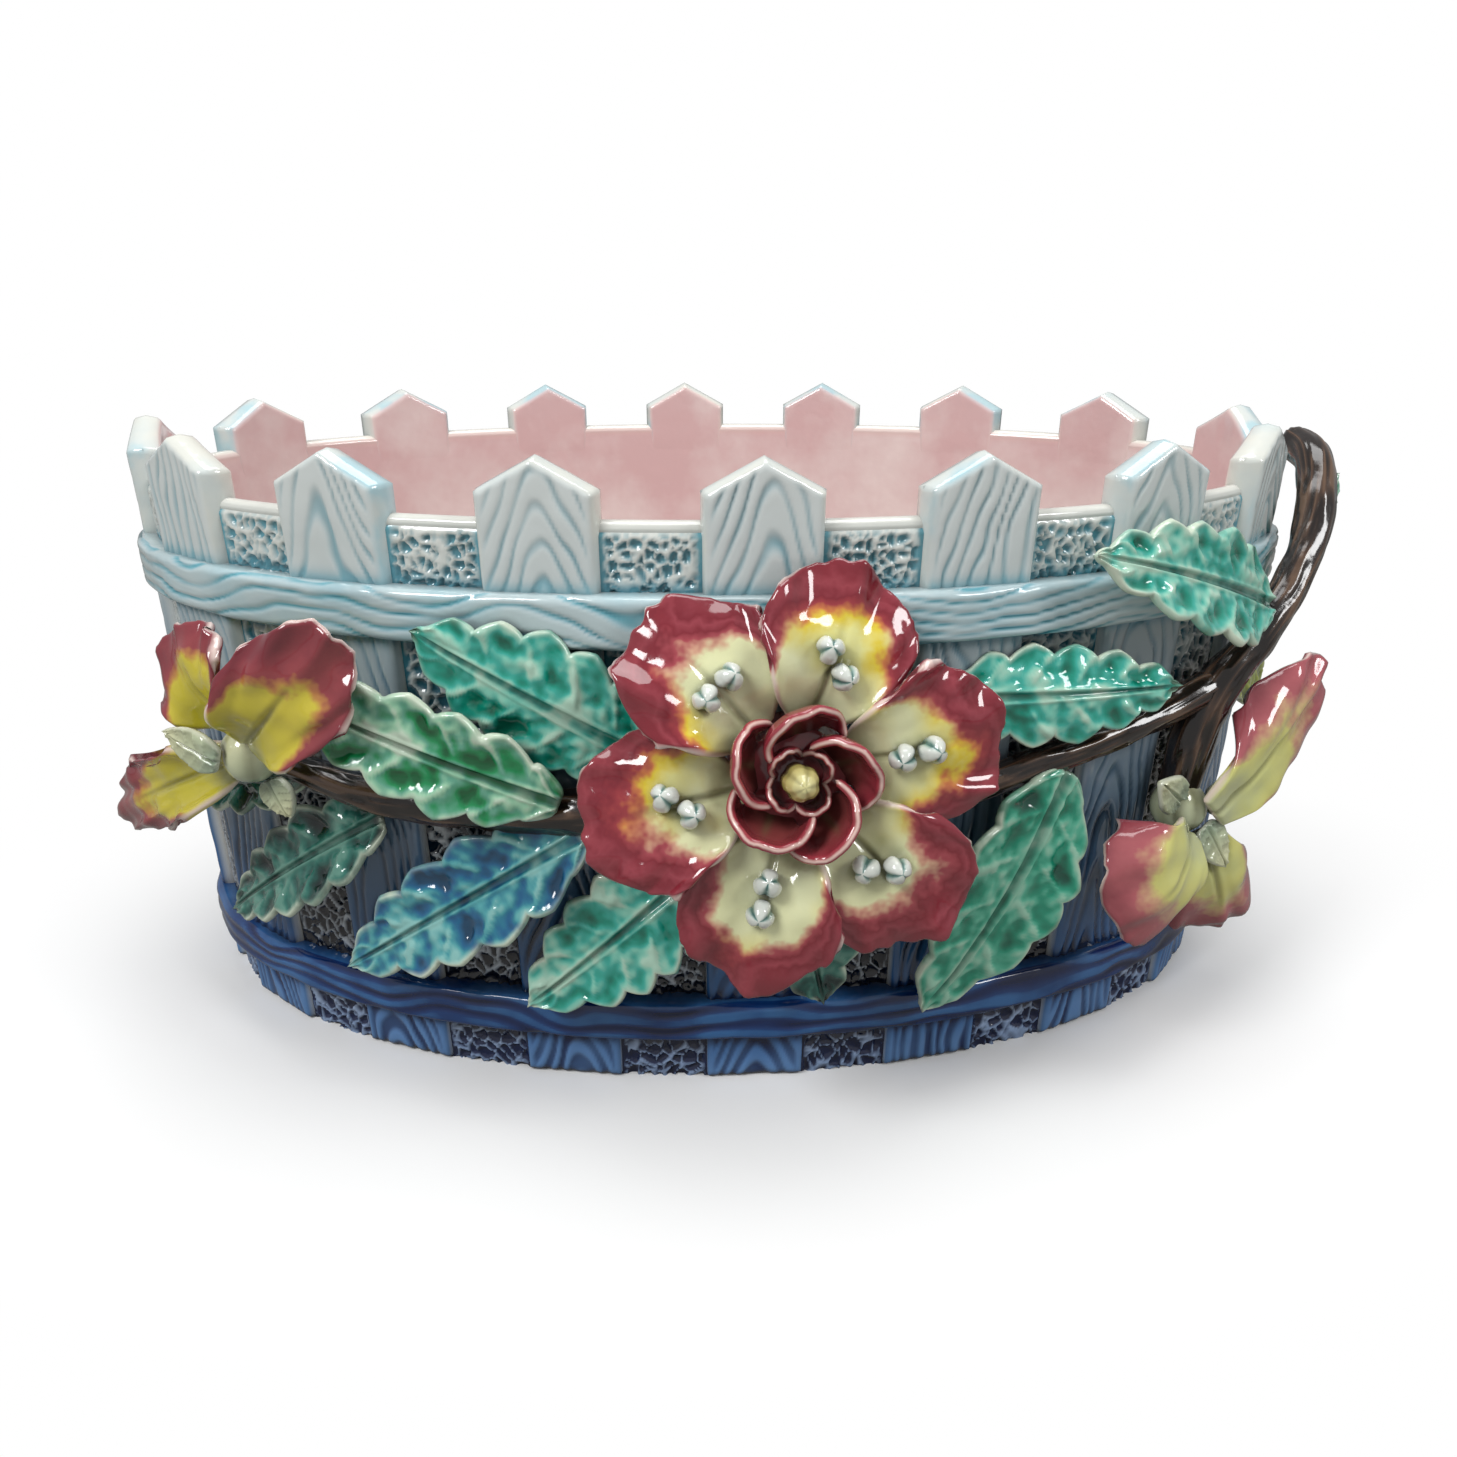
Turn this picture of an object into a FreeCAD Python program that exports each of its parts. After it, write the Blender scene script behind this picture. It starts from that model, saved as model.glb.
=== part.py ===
import FreeCAD, Part
import bisect
import math
import os

os.makedirs("parts", exist_ok=True)
Vector = FreeCAD.Vector

# Sizes are in millimetres, +Z is up, the foot stands on Z = 0 and the big blossom faces -Y.

# Tub: one oval casting of floor and wall, moulded as a fence of gabled pickets
rim_length = 400.0
rim_depth = 234.0
wall_taper = 13.0
rim_height = 185.0
wall_thickness = 6.0
floor_thickness = 9.0
inside_corner_radius = 14.0
picket_count = 16
picket_relief = 3.5
picket_top_width = 34.5
picket_foot_width = 32.0
picket_stand = 18.0
gable_rise = 9.5
picket_edge_bevel = 1.4
first_picket_share = 0.17

# Hoops: two flat bands round the pickets
hoop_relief = 4.0
hoop_edge = 2.5
upper_hoop_drop = 20.0
upper_hoop_height = 16.0
lower_hoop_bottom = 17.0
lower_hoop_height = 14.0

# Branches: rolled clay rods pressed on the wall. Each stop is a share of half the girth,
# of the rim height and of the branch lift, then a share of that rod's radius.
branch_lift = 10.0
left_branch_radius = 6.5
right_branch_radius = 6.5
right_fork_radius = 4.8
left_branch_shares = (
    (-0.268, 0.630, 1.90, 0.55),
    (-0.250, 0.575, 1.00, 0.70),
    (-0.206, 0.537, 0.60, 0.85),
    (-0.149, 0.535, 0.50, 1.00),
    (-0.085, 0.539, 0.55, 1.05),
    (-0.030, 0.560, 0.70, 1.00),
)
right_branch_shares = (
    (0.470, 1.050, 0.30, 0.90),
    (0.440, 1.020, 1.00, 0.95),
    (0.410, 0.930, 1.40, 0.95),
    (0.380, 0.830, 1.40, 0.85),
    (0.350, 0.740, 1.20, 0.90),
    (0.326, 0.670, 0.90, 1.05),
    (0.312, 0.580, 0.80, 1.10),
    (0.305, 0.460, 0.80, 0.95),
)
right_fork_shares = (
    (0.085, 0.550, 0.70, 0.95),
    (0.132, 0.544, 0.50, 1.00),
    (0.188, 0.584, 0.50, 1.00),
    (0.237, 0.609, 0.50, 1.00),
    (0.284, 0.640, 0.60, 1.05),
    (0.325, 0.672, 0.80, 1.10),
)

# Leaves: toothed blades pressed from thin clay. Roots and tips are shares of half the girth,
# of the rim height and of the leaf lift; the rest are shares of the sizes named alike.
leaf_lift = 12.0
leaf_width = 36.0
leaf_thickness = 3.0
leaf_stalk_width = 6.0
leaf_bow = 7.0
leaf_fold = 7.0
leaf_pucker = 1.3
leaf_tooth_depth = 3.2
leaf_tooth_count = 5
leaf_pucker_count = 3
leaf_shares = {
    "leaf_left_upper": {"root": (-0.045, 0.640, 0.6), "tip": (-0.168, 0.840, 0.9),
                        "width": 1.10, "bow": 0.3, "fold": -0.4, "roll": 0.0},
    "leaf_left_middle": {"root": (-0.090, 0.572, 1.10), "tip": (-0.243, 0.745, 1.75),
                         "width": 0.86, "bow": 0.7, "fold": 0.5, "roll": 0.02},
    "leaf_left_end": {"root": (-0.205, 0.505, 0.7), "tip": (-0.345, 0.240, 0.9),
                      "width": 0.80, "bow": 0.7, "fold": 0.7, "roll": 0.06},
    "leaf_left_low": {"root": (-0.080, 0.510, 0.8), "tip": (-0.238, 0.215, 1.1),
                      "width": 0.92, "bow": 0.8, "fold": 0.8, "roll": 0.04},
    "leaf_left_foot": {"root": (-0.012, 0.440, 0.15), "tip": (-0.118, 0.195, 1.2),
                       "width": 1.00, "bow": 0.6, "fold": 0.5, "roll": 0.02},
    "leaf_under_blossom": {"root": (0.033, 0.531, 0.8), "tip": (0.060, 0.190, 0.9),
                           "width": 1.00, "bow": 0.4, "fold": 0.3, "roll": 0.0},
    "leaf_left_back": {"root": (-0.256, 0.562, 0.80), "tip": (-0.425, 0.440, 1.0),
                       "width": 0.60, "bow": 0.5, "fold": 0.4, "roll": 0.02},
    "leaf_right_middle": {"root": (0.128, 0.712, 0.15), "tip": (0.270, 0.706, 1.2),
                          "width": 0.84, "bow": 0.9, "fold": -0.6, "roll": -0.03},
    "leaf_right_low": {"root": (0.207, 0.575, 0.7), "tip": (0.120, 0.165, 1.1),
                       "width": 1.25, "bow": 0.8, "fold": 0.6, "roll": -0.02},
    "leaf_right_rim": {"root": (0.355, 0.800, 1.1), "tip": (0.190, 0.950, 1.3),
                       "width": 0.95, "bow": 0.8, "fold": 0.8, "roll": 0.06},
    "leaf_right_back": {"root": (0.425, 0.770, 0.8), "tip": (0.440, 1.000, 1.5),
                        "width": 0.80, "bow": 0.5, "fold": 0.5, "roll": 0.0},
    "leaf_right_side": {"root": (0.400, 0.610, 0.15), "tip": (0.500, 0.670, 1.2),
                        "width": 0.85, "bow": 0.5, "fold": 0.4, "roll": 0.0},
}

# Big blossom: receptacle, six spreading petals, a cupped ring, inner curls and a cone
blossom_along_share = 0.033
blossom_height_share = 0.650
blossom_lift = 27.0
blossom_lean_degrees = 15.0
receptacle_top_radius = 14.0
receptacle_foot_radius = 20.0
receptacle_crown = 4.0
petal_count = 6
petal_turn_shares = (0.036, 0.203, 0.367, 0.534, 0.708, 0.872)
luting_gap = 0.3
plug_leaf_back_share = 0.64
plug_leaf_down_share = 1.10
petal_length = 46.0
petal_width = 45.0
petal_root_width = 14.0
petal_seat = 3.0
petal_drop = 5.5
petal_cup = 7.0
petal_bow = 6.0
petal_curl = 1.0
petal_ruffle = 1.3
petal_wave_count = 3
petal_thickness = 3.0
petal_roll_degrees = 9.0
ring_petal_count = 5
ring_root_radius = 9.5
ring_petal_length = 19.0
ring_petal_width = 20.0
ring_petal_root_width = 12.0
ring_petal_cup = 6.0
ring_petal_bow = -3.0
ring_petal_thickness = 2.4
ring_spread_degrees = 26.0
ring_roll_degrees = 21.0
curl_count = 4
curl_root_radius = 5.5
curl_length = 12.0
curl_width = 8.0
curl_cup = 2.6
curl_thickness = 1.8
curl_spread_degrees = 12.0
cone_radius = 4.6
cone_height = 15.0
cone_neck_share = 0.6
cone_neck_height_share = 0.8
petal_phase_share = 0.27
curl_turn_share = 0.4
ring_turn_share = 0.2

# Stamens: a clump of small pointed buds on each spreading petal
stamen_place_share = 0.40
stamen_bud_radius = 3.8
stamen_bud_height = 7.5
stamen_bud_count = 2
stamen_spread = 3.3
stamen_turn_share = 0.25
bud_belly_shares = (0.3, 0.6)
bud_shoulder_share = 0.8
stamen_tilt_degrees = 16.0

# Side blooms: a half-open bud at the left and a drooping bloom at the right, each with a
# calyx, cupped petals and plain sepals. Places are shares, as for the leaves.
bloom_lift = 20.0
calyx_radius = 9.0
bloom_petal_width = 38.0
bloom_petal_root_width = 13.0
bloom_petal_cup = 10.0
bloom_petal_bow = 7.0
bloom_petal_ruffle = 1.2
bloom_petal_wave_count = 2
bloom_petal_thickness = 3.0
sepal_width = 15.0
sepal_thickness = 2.4
calyx_shares = {
    "left_bud": (-0.268, 0.615, 0.95),
    "right_bloom": (0.304, 0.455, 0.50),
}
bloom_petal_shares = {
    "left_bud_petal_1": {"tip": (-0.302, 0.825, 1.00), "rise": 0.0,
                         "width": 0.95, "cup": 0.8, "bow": 0.9, "roll": -0.02},
    "left_bud_petal_2": {"tip": (-0.188, 0.850, 1.30), "rise": 0.45,
                         "width": 0.92, "cup": 0.8, "bow": 0.9, "roll": 0.04},
    "left_bud_petal_3": {"tip": (-0.398, 0.415, 1.50), "rise": 0.1,
                         "width": 0.62, "cup": 0.7, "bow": 0.8, "roll": 0.0},
    "right_bloom_petal_1": {"tip": (0.224, 0.310, 1.30), "rise": 0.50,
                            "width": 1.20, "cup": -0.8, "bow": 1.2, "roll": 0.0},
    "right_bloom_petal_2": {"tip": (0.345, 0.180, 1.00), "rise": 0.30,
                            "width": 1.00, "cup": -0.8, "bow": 1.0, "roll": 0.07},
    "right_bloom_petal_3": {"tip": (0.382, 0.690, 1.45), "rise": 0.79,
                            "width": 0.90, "cup": -0.4, "bow": 0.8, "roll": -0.03},
}
sepal_shares = {
    "left_bud_sepal_1": {"tip": (-0.300, 0.655, 1.60), "rise": 0.60},
    "left_bud_sepal_2": {"tip": (-0.250, 0.505, 0.90), "rise": 0.0},
    "right_bloom_sepal_1": {"tip": (0.261, 0.538, 0.88), "rise": 0.20},
    "right_bloom_sepal_2": {"tip": (0.314, 0.350, 1.28), "rise": 0.36},
    "right_bloom_sepal_3": {"tip": (0.350, 0.465, 1.00), "rise": 0.15},
}

# Every cutting body runs this far past what it cuts.
overrun = 6.0
pieces = {}


def keep(name, shape, neighbours=()):
    """Trim a piece to the surfaces of the pieces it is luted to, and keep its one solid."""
    for other in neighbours:
        if shape.BoundBox.intersect(other.BoundBox):
            shape = shape.cut(other)
    pieces[name] = max(shape.Solids, key=lambda solid: solid.Volume)


def half_axes(height, offset):
    """Half length and half depth of the oval through the picket faces, moved out by an offset."""
    inset = wall_taper * (1 - height / rim_height)
    return rim_length / 2 - inset + offset, rim_depth / 2 - inset + offset


def oval(height, offset):
    half_length, half_depth = half_axes(height, offset)
    return Part.Wire([Part.Ellipse(Vector(0, 0, height), half_length, half_depth).toShape()])


def oval_body(levels):
    return Part.makeLoft([oval(height, offset) for height, offset in levels], True, True)


def girth_table(step_count):
    """Running length along half of the mid-height oval, from the front centre."""
    half_length, half_depth = half_axes(rim_height / 2, 0)
    lengths = [0.0]
    for step in range(step_count):
        angle = math.pi * (step + 0.5) / step_count
        slope = math.hypot(half_length * math.cos(angle), half_depth * math.sin(angle))
        lengths.append(lengths[-1] + slope * math.pi / step_count)
    return lengths


girth_lengths = girth_table(720)
half_girth = girth_lengths[-1]


def angle_at(along_share):
    """Angle on the oval of a place, given as a share of half the girth from the front centre."""
    distance = abs(along_share) * half_girth
    step = min(bisect.bisect_right(girth_lengths, distance), len(girth_lengths) - 1)
    span = girth_lengths[step] - girth_lengths[step - 1]
    angle = math.pi * (step - 1 + (distance - girth_lengths[step - 1]) / span) / (len(girth_lengths) - 1)
    return math.copysign(angle, along_share)


def wall_point(along_share, height, offset):
    half_length, half_depth = half_axes(height, offset)
    angle = angle_at(along_share)
    return Vector(half_length * math.sin(angle), -half_depth * math.cos(angle), height)


def wall_out(along_share):
    """Level direction straight out of the wall."""
    half_length, half_depth = half_axes(rim_height / 2, 0)
    angle = angle_at(along_share)
    return Vector(half_depth * math.sin(angle), -half_length * math.cos(angle), 0).normalize()


def place_on_wall(shares, lift):
    along_share, height_share, lift_share = shares
    return wall_point(along_share, rim_height * height_share, lift * lift_share)


def frame(origin, ahead, face):
    """Placement with X ahead and Z as near as it can be to the face direction."""
    x_axis = Vector(ahead).normalize()
    y_axis = face.cross(x_axis).normalize()
    z_axis = x_axis.cross(y_axis)
    return FreeCAD.Placement(FreeCAD.Matrix(
        x_axis.x, y_axis.x, z_axis.x, origin.x,
        x_axis.y, y_axis.y, z_axis.y, origin.y,
        x_axis.z, y_axis.z, z_axis.z, origin.z,
        0, 0, 0, 1))


def blade_frame(root, tip, face, roll_share):
    """Frame of a blade from its root to its tip, rolled about its length."""
    turn = FreeCAD.Rotation(Vector(1, 0, 0), 360 * roll_share)
    return frame(root, tip - root, face).multiply(FreeCAD.Placement(Vector(0, 0, 0), turn))


def sheet_solid(front_points, thickness):
    """Closed clay sheet between a front grid of points and the same grid moved back."""
    back_points = [[point - Vector(0, 0, thickness) for point in row] for row in front_points]
    front = Part.BSplineSurface()
    front.interpolate(front_points)
    back = Part.BSplineSurface()
    back.interpolate(back_points)
    faces = [front.toShape(), back.toShape()]
    first_u, last_u, first_v, last_v = front.bounds()
    for u in (first_u, last_u):
        faces.append(Part.makeRuledSurface(front.uIso(u).toShape(), back.uIso(u).toShape()))
    for v in (first_v, last_v):
        faces.append(Part.makeRuledSurface(front.vIso(v).toShape(), back.vIso(v).toShape()))
    shell = Part.makeShell(faces)
    shell.sewShape()
    solid = Part.Solid(shell)
    if solid.Volume < 0:
        solid.reverse()
    return solid


def revolved(profile):
    """Solid of revolution about Z from (radius, height) points that start and end on the axis."""
    points = [Vector(radius, 0, height) for radius, height in profile]
    outline = Part.Face(Part.makePolygon(points + points[:1]))
    return outline.revolve(Vector(0, 0, 0), Vector(0, 0, 1), 360)


# Tub
picket_top = rim_height + picket_stand
shoulder_height = picket_top - gable_rise
inner_offset = -picket_relief - wall_thickness
core = oval_body([(0, -picket_relief), (rim_height, -picket_relief)])
hollow = oval_body([(floor_thickness, inner_offset), (picket_top + overrun, inner_offset)])
floor_edges = [edge for edge in hollow.Edges if edge.BoundBox.ZMax < floor_thickness + overrun]
hollow = hollow.makeFillet(inside_corner_radius, floor_edges)


def picket_block(index):
    """One gabled board, flat in front, that runs through the wall, with its front edges eased."""
    along_share = 2 * (index + first_picket_share) / picket_count
    if along_share > 1:
        along_share = along_share - 2
    out = wall_out(along_share)
    across = Vector(0, 0, 1).cross(out)
    foot = wall_point(along_share, 0, 0)
    shoulder = wall_point(along_share, shoulder_height, 0)
    corners = [
        foot - across * (picket_foot_width / 2),
        foot + across * (picket_foot_width / 2),
        shoulder + across * (picket_top_width / 2),
        wall_point(along_share, picket_top, 0),
        shoulder - across * (picket_top_width / 2),
    ]
    gable = Part.Face(Part.makePolygon(corners + corners[:1]))
    block = gable.extrude(out * -(picket_relief + wall_thickness + overrun))
    front = max(block.Faces, key=lambda face: face.CenterOfMass.dot(out))
    edges = [edge for edge in front.Edges if edge.CenterOfMass.z > overrun]
    return block.makeChamfer(picket_edge_bevel, edges)


blocks = [picket_block(index) for index in range(picket_count)]
fence = core.fuse(blocks).removeSplitter()
keep("tub_body", fence.cut(hollow))


# Hoops
def hoop(bottom, height):
    top = bottom + height
    band = oval_body([
        (bottom, hoop_relief - hoop_edge),
        (bottom + hoop_edge, hoop_relief),
        (top - hoop_edge, hoop_relief),
        (top, hoop_relief - hoop_edge),
    ])
    return band.cut(core).cut(blocks)


keep("upper_hoop", hoop(rim_height - upper_hoop_drop - upper_hoop_height, upper_hoop_height))
keep("lower_hoop", hoop(lower_hoop_bottom, lower_hoop_height))
ground = [fence, pieces["upper_hoop"], pieces["lower_hoop"]]


# Branches
def rod(stop_shares, radius):
    """Tapering rod through its stops on the wall."""
    stops = [place_on_wall(shares[:3], branch_lift) for shares in stop_shares]
    path = Part.BSplineCurve()
    path.interpolate(stops)
    rings = []
    for stop, shares in zip(stops, stop_shares):
        ahead = Vector(*path.tangent(path.parameter(stop))[0])
        rings.append(Part.Wire([Part.makeCircle(radius * shares[3], stop, ahead)]))
    return Part.makeLoft(rings, True, False)


keep("right_branch", rod(right_branch_shares, right_branch_radius), ground)
keep("left_branch", rod(left_branch_shares, left_branch_radius), ground)
keep("right_fork", rod(right_fork_shares, right_fork_radius), ground + [pieces["right_branch"]])
wood = [pieces["right_branch"], pieces["left_branch"], pieces["right_fork"]]


# Big blossom: its frame has Z out of the flower, X to the right and Y up across it
blossom_out = wall_out(blossom_along_share)
lean = math.radians(blossom_lean_degrees)
blossom_axis = blossom_out * math.cos(lean) + Vector(0, 0, math.sin(lean))
blossom_centre = wall_point(blossom_along_share, rim_height * blossom_height_share, blossom_lift)
blossom_place = frame(blossom_centre, Vector(0, 0, 1).cross(blossom_out), blossom_axis)


def blossom_spot(degrees, radius, height, spread_degrees, roll_degrees):
    """Frame of a blossom blade: round the axis, out by a radius, tipped up and rolled."""
    round_axis = FreeCAD.Placement(Vector(0, 0, 0), FreeCAD.Rotation(Vector(0, 0, 1), degrees))
    tip_up = FreeCAD.Placement(Vector(radius, 0, height), FreeCAD.Rotation(Vector(0, -1, 0), spread_degrees))
    roll = FreeCAD.Placement(Vector(0, 0, 0), FreeCAD.Rotation(Vector(1, 0, 0), roll_degrees))
    return blossom_place.multiply(round_axis).multiply(tip_up).multiply(roll)


petal_round_share = 0.46
petal_wrap_degrees = 106.0
petal_row_count = 8
petal_column_count = 12


def petal_point(sizes, out_share, side):
    """Point on the front of a petal, on a straight spoke from its root edge to its round rim."""
    turn = math.radians(petal_wrap_degrees) * side
    round_length = sizes["length"] * petal_round_share
    rim_ahead = sizes["length"] - round_length * (1 - math.cos(turn))
    rim_across = sizes["width"] / 2 * math.sin(turn)
    root_across = sizes["root_width"] / 2 * side
    wave = sizes["ruffle"] * out_share ** 4 * math.sin(math.pi * sizes["waves"] * side + sizes["phase"])
    height = sizes["cup"] * side ** 2 * out_share
    height = height + sizes["bow"] * math.sin(math.pi * out_share) + sizes["curl"] * out_share ** 2
    return Vector((rim_ahead + wave) * out_share,
                  root_across + (rim_across - root_across) * out_share, height + wave)


def petal(sizes):
    rows = []
    for row in range(petal_row_count + 1):
        sides = [2 * column / petal_column_count - 1 for column in range(petal_column_count + 1)]
        rows.append([petal_point(sizes, row / petal_row_count, side) for side in sides])
    return sheet_solid(rows, sizes["thickness"])


receptacle_depth = blossom_lift + receptacle_foot_radius
receptacle = revolved([
    (0, -receptacle_depth),
    (receptacle_foot_radius, -receptacle_depth),
    (receptacle_top_radius, -petal_drop - 2 * petal_thickness),
    (receptacle_top_radius, -receptacle_crown / 2),
    (receptacle_top_radius / 2, 0),
    (0, receptacle_crown / 2),
])
receptacle.Placement = blossom_place
keep("blossom_receptacle", receptacle, ground + wood)

cone = revolved([
    (0, -receptacle_crown),
    (cone_radius, -receptacle_crown),
    (cone_radius, cone_height / 3),
    (cone_radius * cone_neck_share, cone_height * cone_neck_height_share),
    (0, cone_height),
])
cone.Placement = blossom_place
keep("blossom_cone", cone, [pieces["blossom_receptacle"]])
heart = [pieces["blossom_receptacle"]]

for index in range(curl_count):
    sizes = {"length": curl_length, "width": curl_width, "root_width": curl_width / 2, "cup": curl_cup,
             "bow": -curl_cup / 2, "curl": 0, "ruffle": 0, "waves": 1, "phase": index,
             "thickness": curl_thickness}
    shape = petal(sizes)
    degrees = 360 * (index + curl_turn_share) / curl_count
    shape.Placement = blossom_spot(degrees, curl_root_radius, -petal_seat, 90 - curl_spread_degrees, 0)
    keep("blossom_curl_%d" % (index + 1), shape, heart)

for index in range(ring_petal_count):
    sizes = {"length": ring_petal_length, "width": ring_petal_width, "root_width": ring_petal_root_width,
             "cup": ring_petal_cup, "bow": ring_petal_bow, "curl": 0, "ruffle": petal_ruffle / 2,
             "waves": 1, "phase": index, "thickness": ring_petal_thickness}
    shape = petal(sizes)
    degrees = 360 * (index + ring_turn_share) / ring_petal_count
    tip_up = 90 - ring_spread_degrees
    shape.Placement = blossom_spot(degrees, ring_root_radius, -petal_seat, tip_up, ring_roll_degrees)
    keep("blossom_ring_petal_%d" % (index + 1), shape, heart)

bud_profile = [
    (0, -petal_thickness / 2),
    (stamen_bud_radius / 2, -petal_thickness / 2),
    (stamen_bud_radius, stamen_bud_height * bud_belly_shares[0]),
    (stamen_bud_radius * bud_shoulder_share, stamen_bud_height * bud_belly_shares[1]),
    (0, stamen_bud_height),
]
for index in range(petal_count):
    sizes = {"length": petal_length, "width": petal_width, "root_width": petal_root_width, "cup": petal_cup,
             "bow": petal_bow, "curl": petal_curl, "ruffle": petal_ruffle, "waves": petal_wave_count,
             "phase": 2 * math.pi * petal_phase_share * index, "thickness": petal_thickness}
    shape = petal(sizes)
    degrees = 360 * petal_turn_shares[index]
    root_radius = receptacle_top_radius + luting_gap
    place = blossom_spot(degrees, root_radius, -petal_drop, 0, petal_roll_degrees)
    shape.Placement = place
    name = "blossom_petal_%d" % (index + 1)
    keep(name, shape)
    foot = petal_point(sizes, stamen_place_share, 0)
    buds = []
    for bud_index in range(stamen_bud_count):
        bud = revolved(bud_profile)
        turn = 2 * math.pi * (bud_index + stamen_turn_share * index) / stamen_bud_count
        spot = foot + Vector(stamen_spread * math.cos(turn), stamen_spread * math.sin(turn), 0)
        lean_axis = Vector(-math.sin(turn), math.cos(turn), 0)
        tilt = FreeCAD.Rotation(lean_axis, stamen_tilt_degrees)
        bud.Placement = place.multiply(FreeCAD.Placement(spot, tilt))
        buds.append(bud)
    keep("stamens_%d" % (index + 1), buds[0].fuse(buds[1:]), [pieces[name]])


# Leaves
leaf_row_count = 12
leaf_column_count = 6


def leaf_half_width(out_share, width):
    body = math.sin(math.pi * out_share ** 0.85) ** 0.75
    return leaf_stalk_width / 2 * (1 - out_share) + (width - leaf_stalk_width) / 2 * body


def leaf_outline(length, width, tooth_depth, tooth_count):
    """Pointed oval with saw teeth that lean towards the tip."""
    side_points = [Vector(0, leaf_stalk_width / 2, 0)]
    for tooth in range(tooth_count):
        notch_share = (tooth + 0.55) / (tooth_count + 0.8)
        point_share = (tooth + 1.15) / (tooth_count + 0.8)
        notch = leaf_half_width(notch_share, width) - tooth_depth / 2
        point = leaf_half_width(point_share, width) + tooth_depth / 2
        side_points.append(Vector(length * notch_share, notch, 0))
        side_points.append(Vector(length * point_share, point, 0))
    mirrored = [Vector(point.x, -point.y, 0) for point in reversed(side_points)]
    corners = side_points + [Vector(length, 0, 0)] + mirrored
    return Part.Face(Part.makePolygon(corners + corners[:1]))


def leaf(spec, length, width, thickness, tooth_depth, tooth_count):
    rows = []
    for row in range(leaf_row_count + 1):
        out_share = row / leaf_row_count
        points = []
        for column in range(leaf_column_count + 1):
            side = 2 * column / leaf_column_count - 1
            pucker = leaf_pucker * math.cos(2 * math.pi * leaf_pucker_count * out_share) * side ** 2
            height = leaf_bow * spec["bow"] * math.sin(math.pi * out_share) + pucker
            height = height + leaf_fold * spec["fold"] * abs(side) ** 1.3 * math.sin(math.pi * out_share)
            points.append(Vector(-overrun + (length + 2 * overrun) * out_share,
                                 (width / 2 + overrun) * side, height))
        rows.append(points)
    reach = 2 * (leaf_bow + leaf_fold + leaf_pucker + thickness)
    cutter = leaf_outline(length, width, tooth_depth, tooth_count)
    cutter.translate(Vector(0, 0, -reach))
    return sheet_solid(rows, thickness).common(cutter.extrude(Vector(0, 0, 2 * reach)))


carriers = ground + wood + heart
plug_spot = blossom_centre - blossom_out * (blossom_lift * plug_leaf_back_share)
plug_spot = plug_spot - Vector(0, 0, receptacle_foot_radius * plug_leaf_down_share)
for name, spec in leaf_shares.items():
    root = place_on_wall(spec["root"], leaf_lift)
    if name == "leaf_under_blossom":
        root = plug_spot
    tip = place_on_wall(spec["tip"], leaf_lift)
    width = leaf_width * spec["width"]
    shape = leaf(spec, (tip - root).Length, width, leaf_thickness, leaf_tooth_depth, leaf_tooth_count)
    face = wall_out((spec["root"][0] + spec["tip"][0]) / 2)
    shape.Placement = blade_frame(root, tip, face, spec["roll"])
    keep(name, shape, carriers)


# Side blooms
for name, shares in calyx_shares.items():
    calyx = Part.makeSphere(calyx_radius, place_on_wall(shares, bloom_lift))
    keep(name + "_calyx", calyx, ground + wood)


def calyx_spot(name, spec, thickness):
    """Root, tip and face of a blade that springs from its calyx, raised by a share of a right angle."""
    shares = calyx_shares[name.rsplit("_", 2)[0]]
    centre = place_on_wall(shares, bloom_lift)
    tip = place_on_wall(spec["tip"], bloom_lift)
    face = wall_out((shares[0] + spec["tip"][0]) / 2)
    ahead = (tip - centre).normalize()
    up = (face - ahead * face.dot(ahead)).normalize()
    rise = math.pi / 2 * spec["rise"]
    reach = calyx_radius + luting_gap + thickness * math.sin(rise)
    return centre + (ahead * math.cos(rise) + up * math.sin(rise)) * reach, tip, face


for name, spec in bloom_petal_shares.items():
    root, tip, face = calyx_spot(name, spec, bloom_petal_thickness)
    sizes = {"length": (tip - root).Length, "width": bloom_petal_width * spec["width"],
             "root_width": bloom_petal_root_width, "cup": bloom_petal_cup * spec["cup"],
             "bow": bloom_petal_bow * spec["bow"], "curl": 0, "ruffle": bloom_petal_ruffle,
             "waves": bloom_petal_wave_count, "phase": 0, "thickness": bloom_petal_thickness}
    shape = petal(sizes)
    shape.Placement = blade_frame(root, tip, face, spec["roll"])
    keep(name, shape)

plain_sepal_shares = {"bow": 0.1, "fold": 0.2}
for name, spec in sepal_shares.items():
    root, tip, face = calyx_spot(name, spec, sepal_thickness)
    shape = leaf(plain_sepal_shares, (tip - root).Length, sepal_width, sepal_thickness, 0, leaf_tooth_count)
    shape.Placement = blade_frame(root, tip, face, 0)
    keep(name, shape)


for name, solid in pieces.items():
    solid.exportStep("parts/%s.step" % name)
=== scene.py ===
import math

import bpy
import numpy as np
from mathutils import Matrix, Vector, noise


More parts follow.
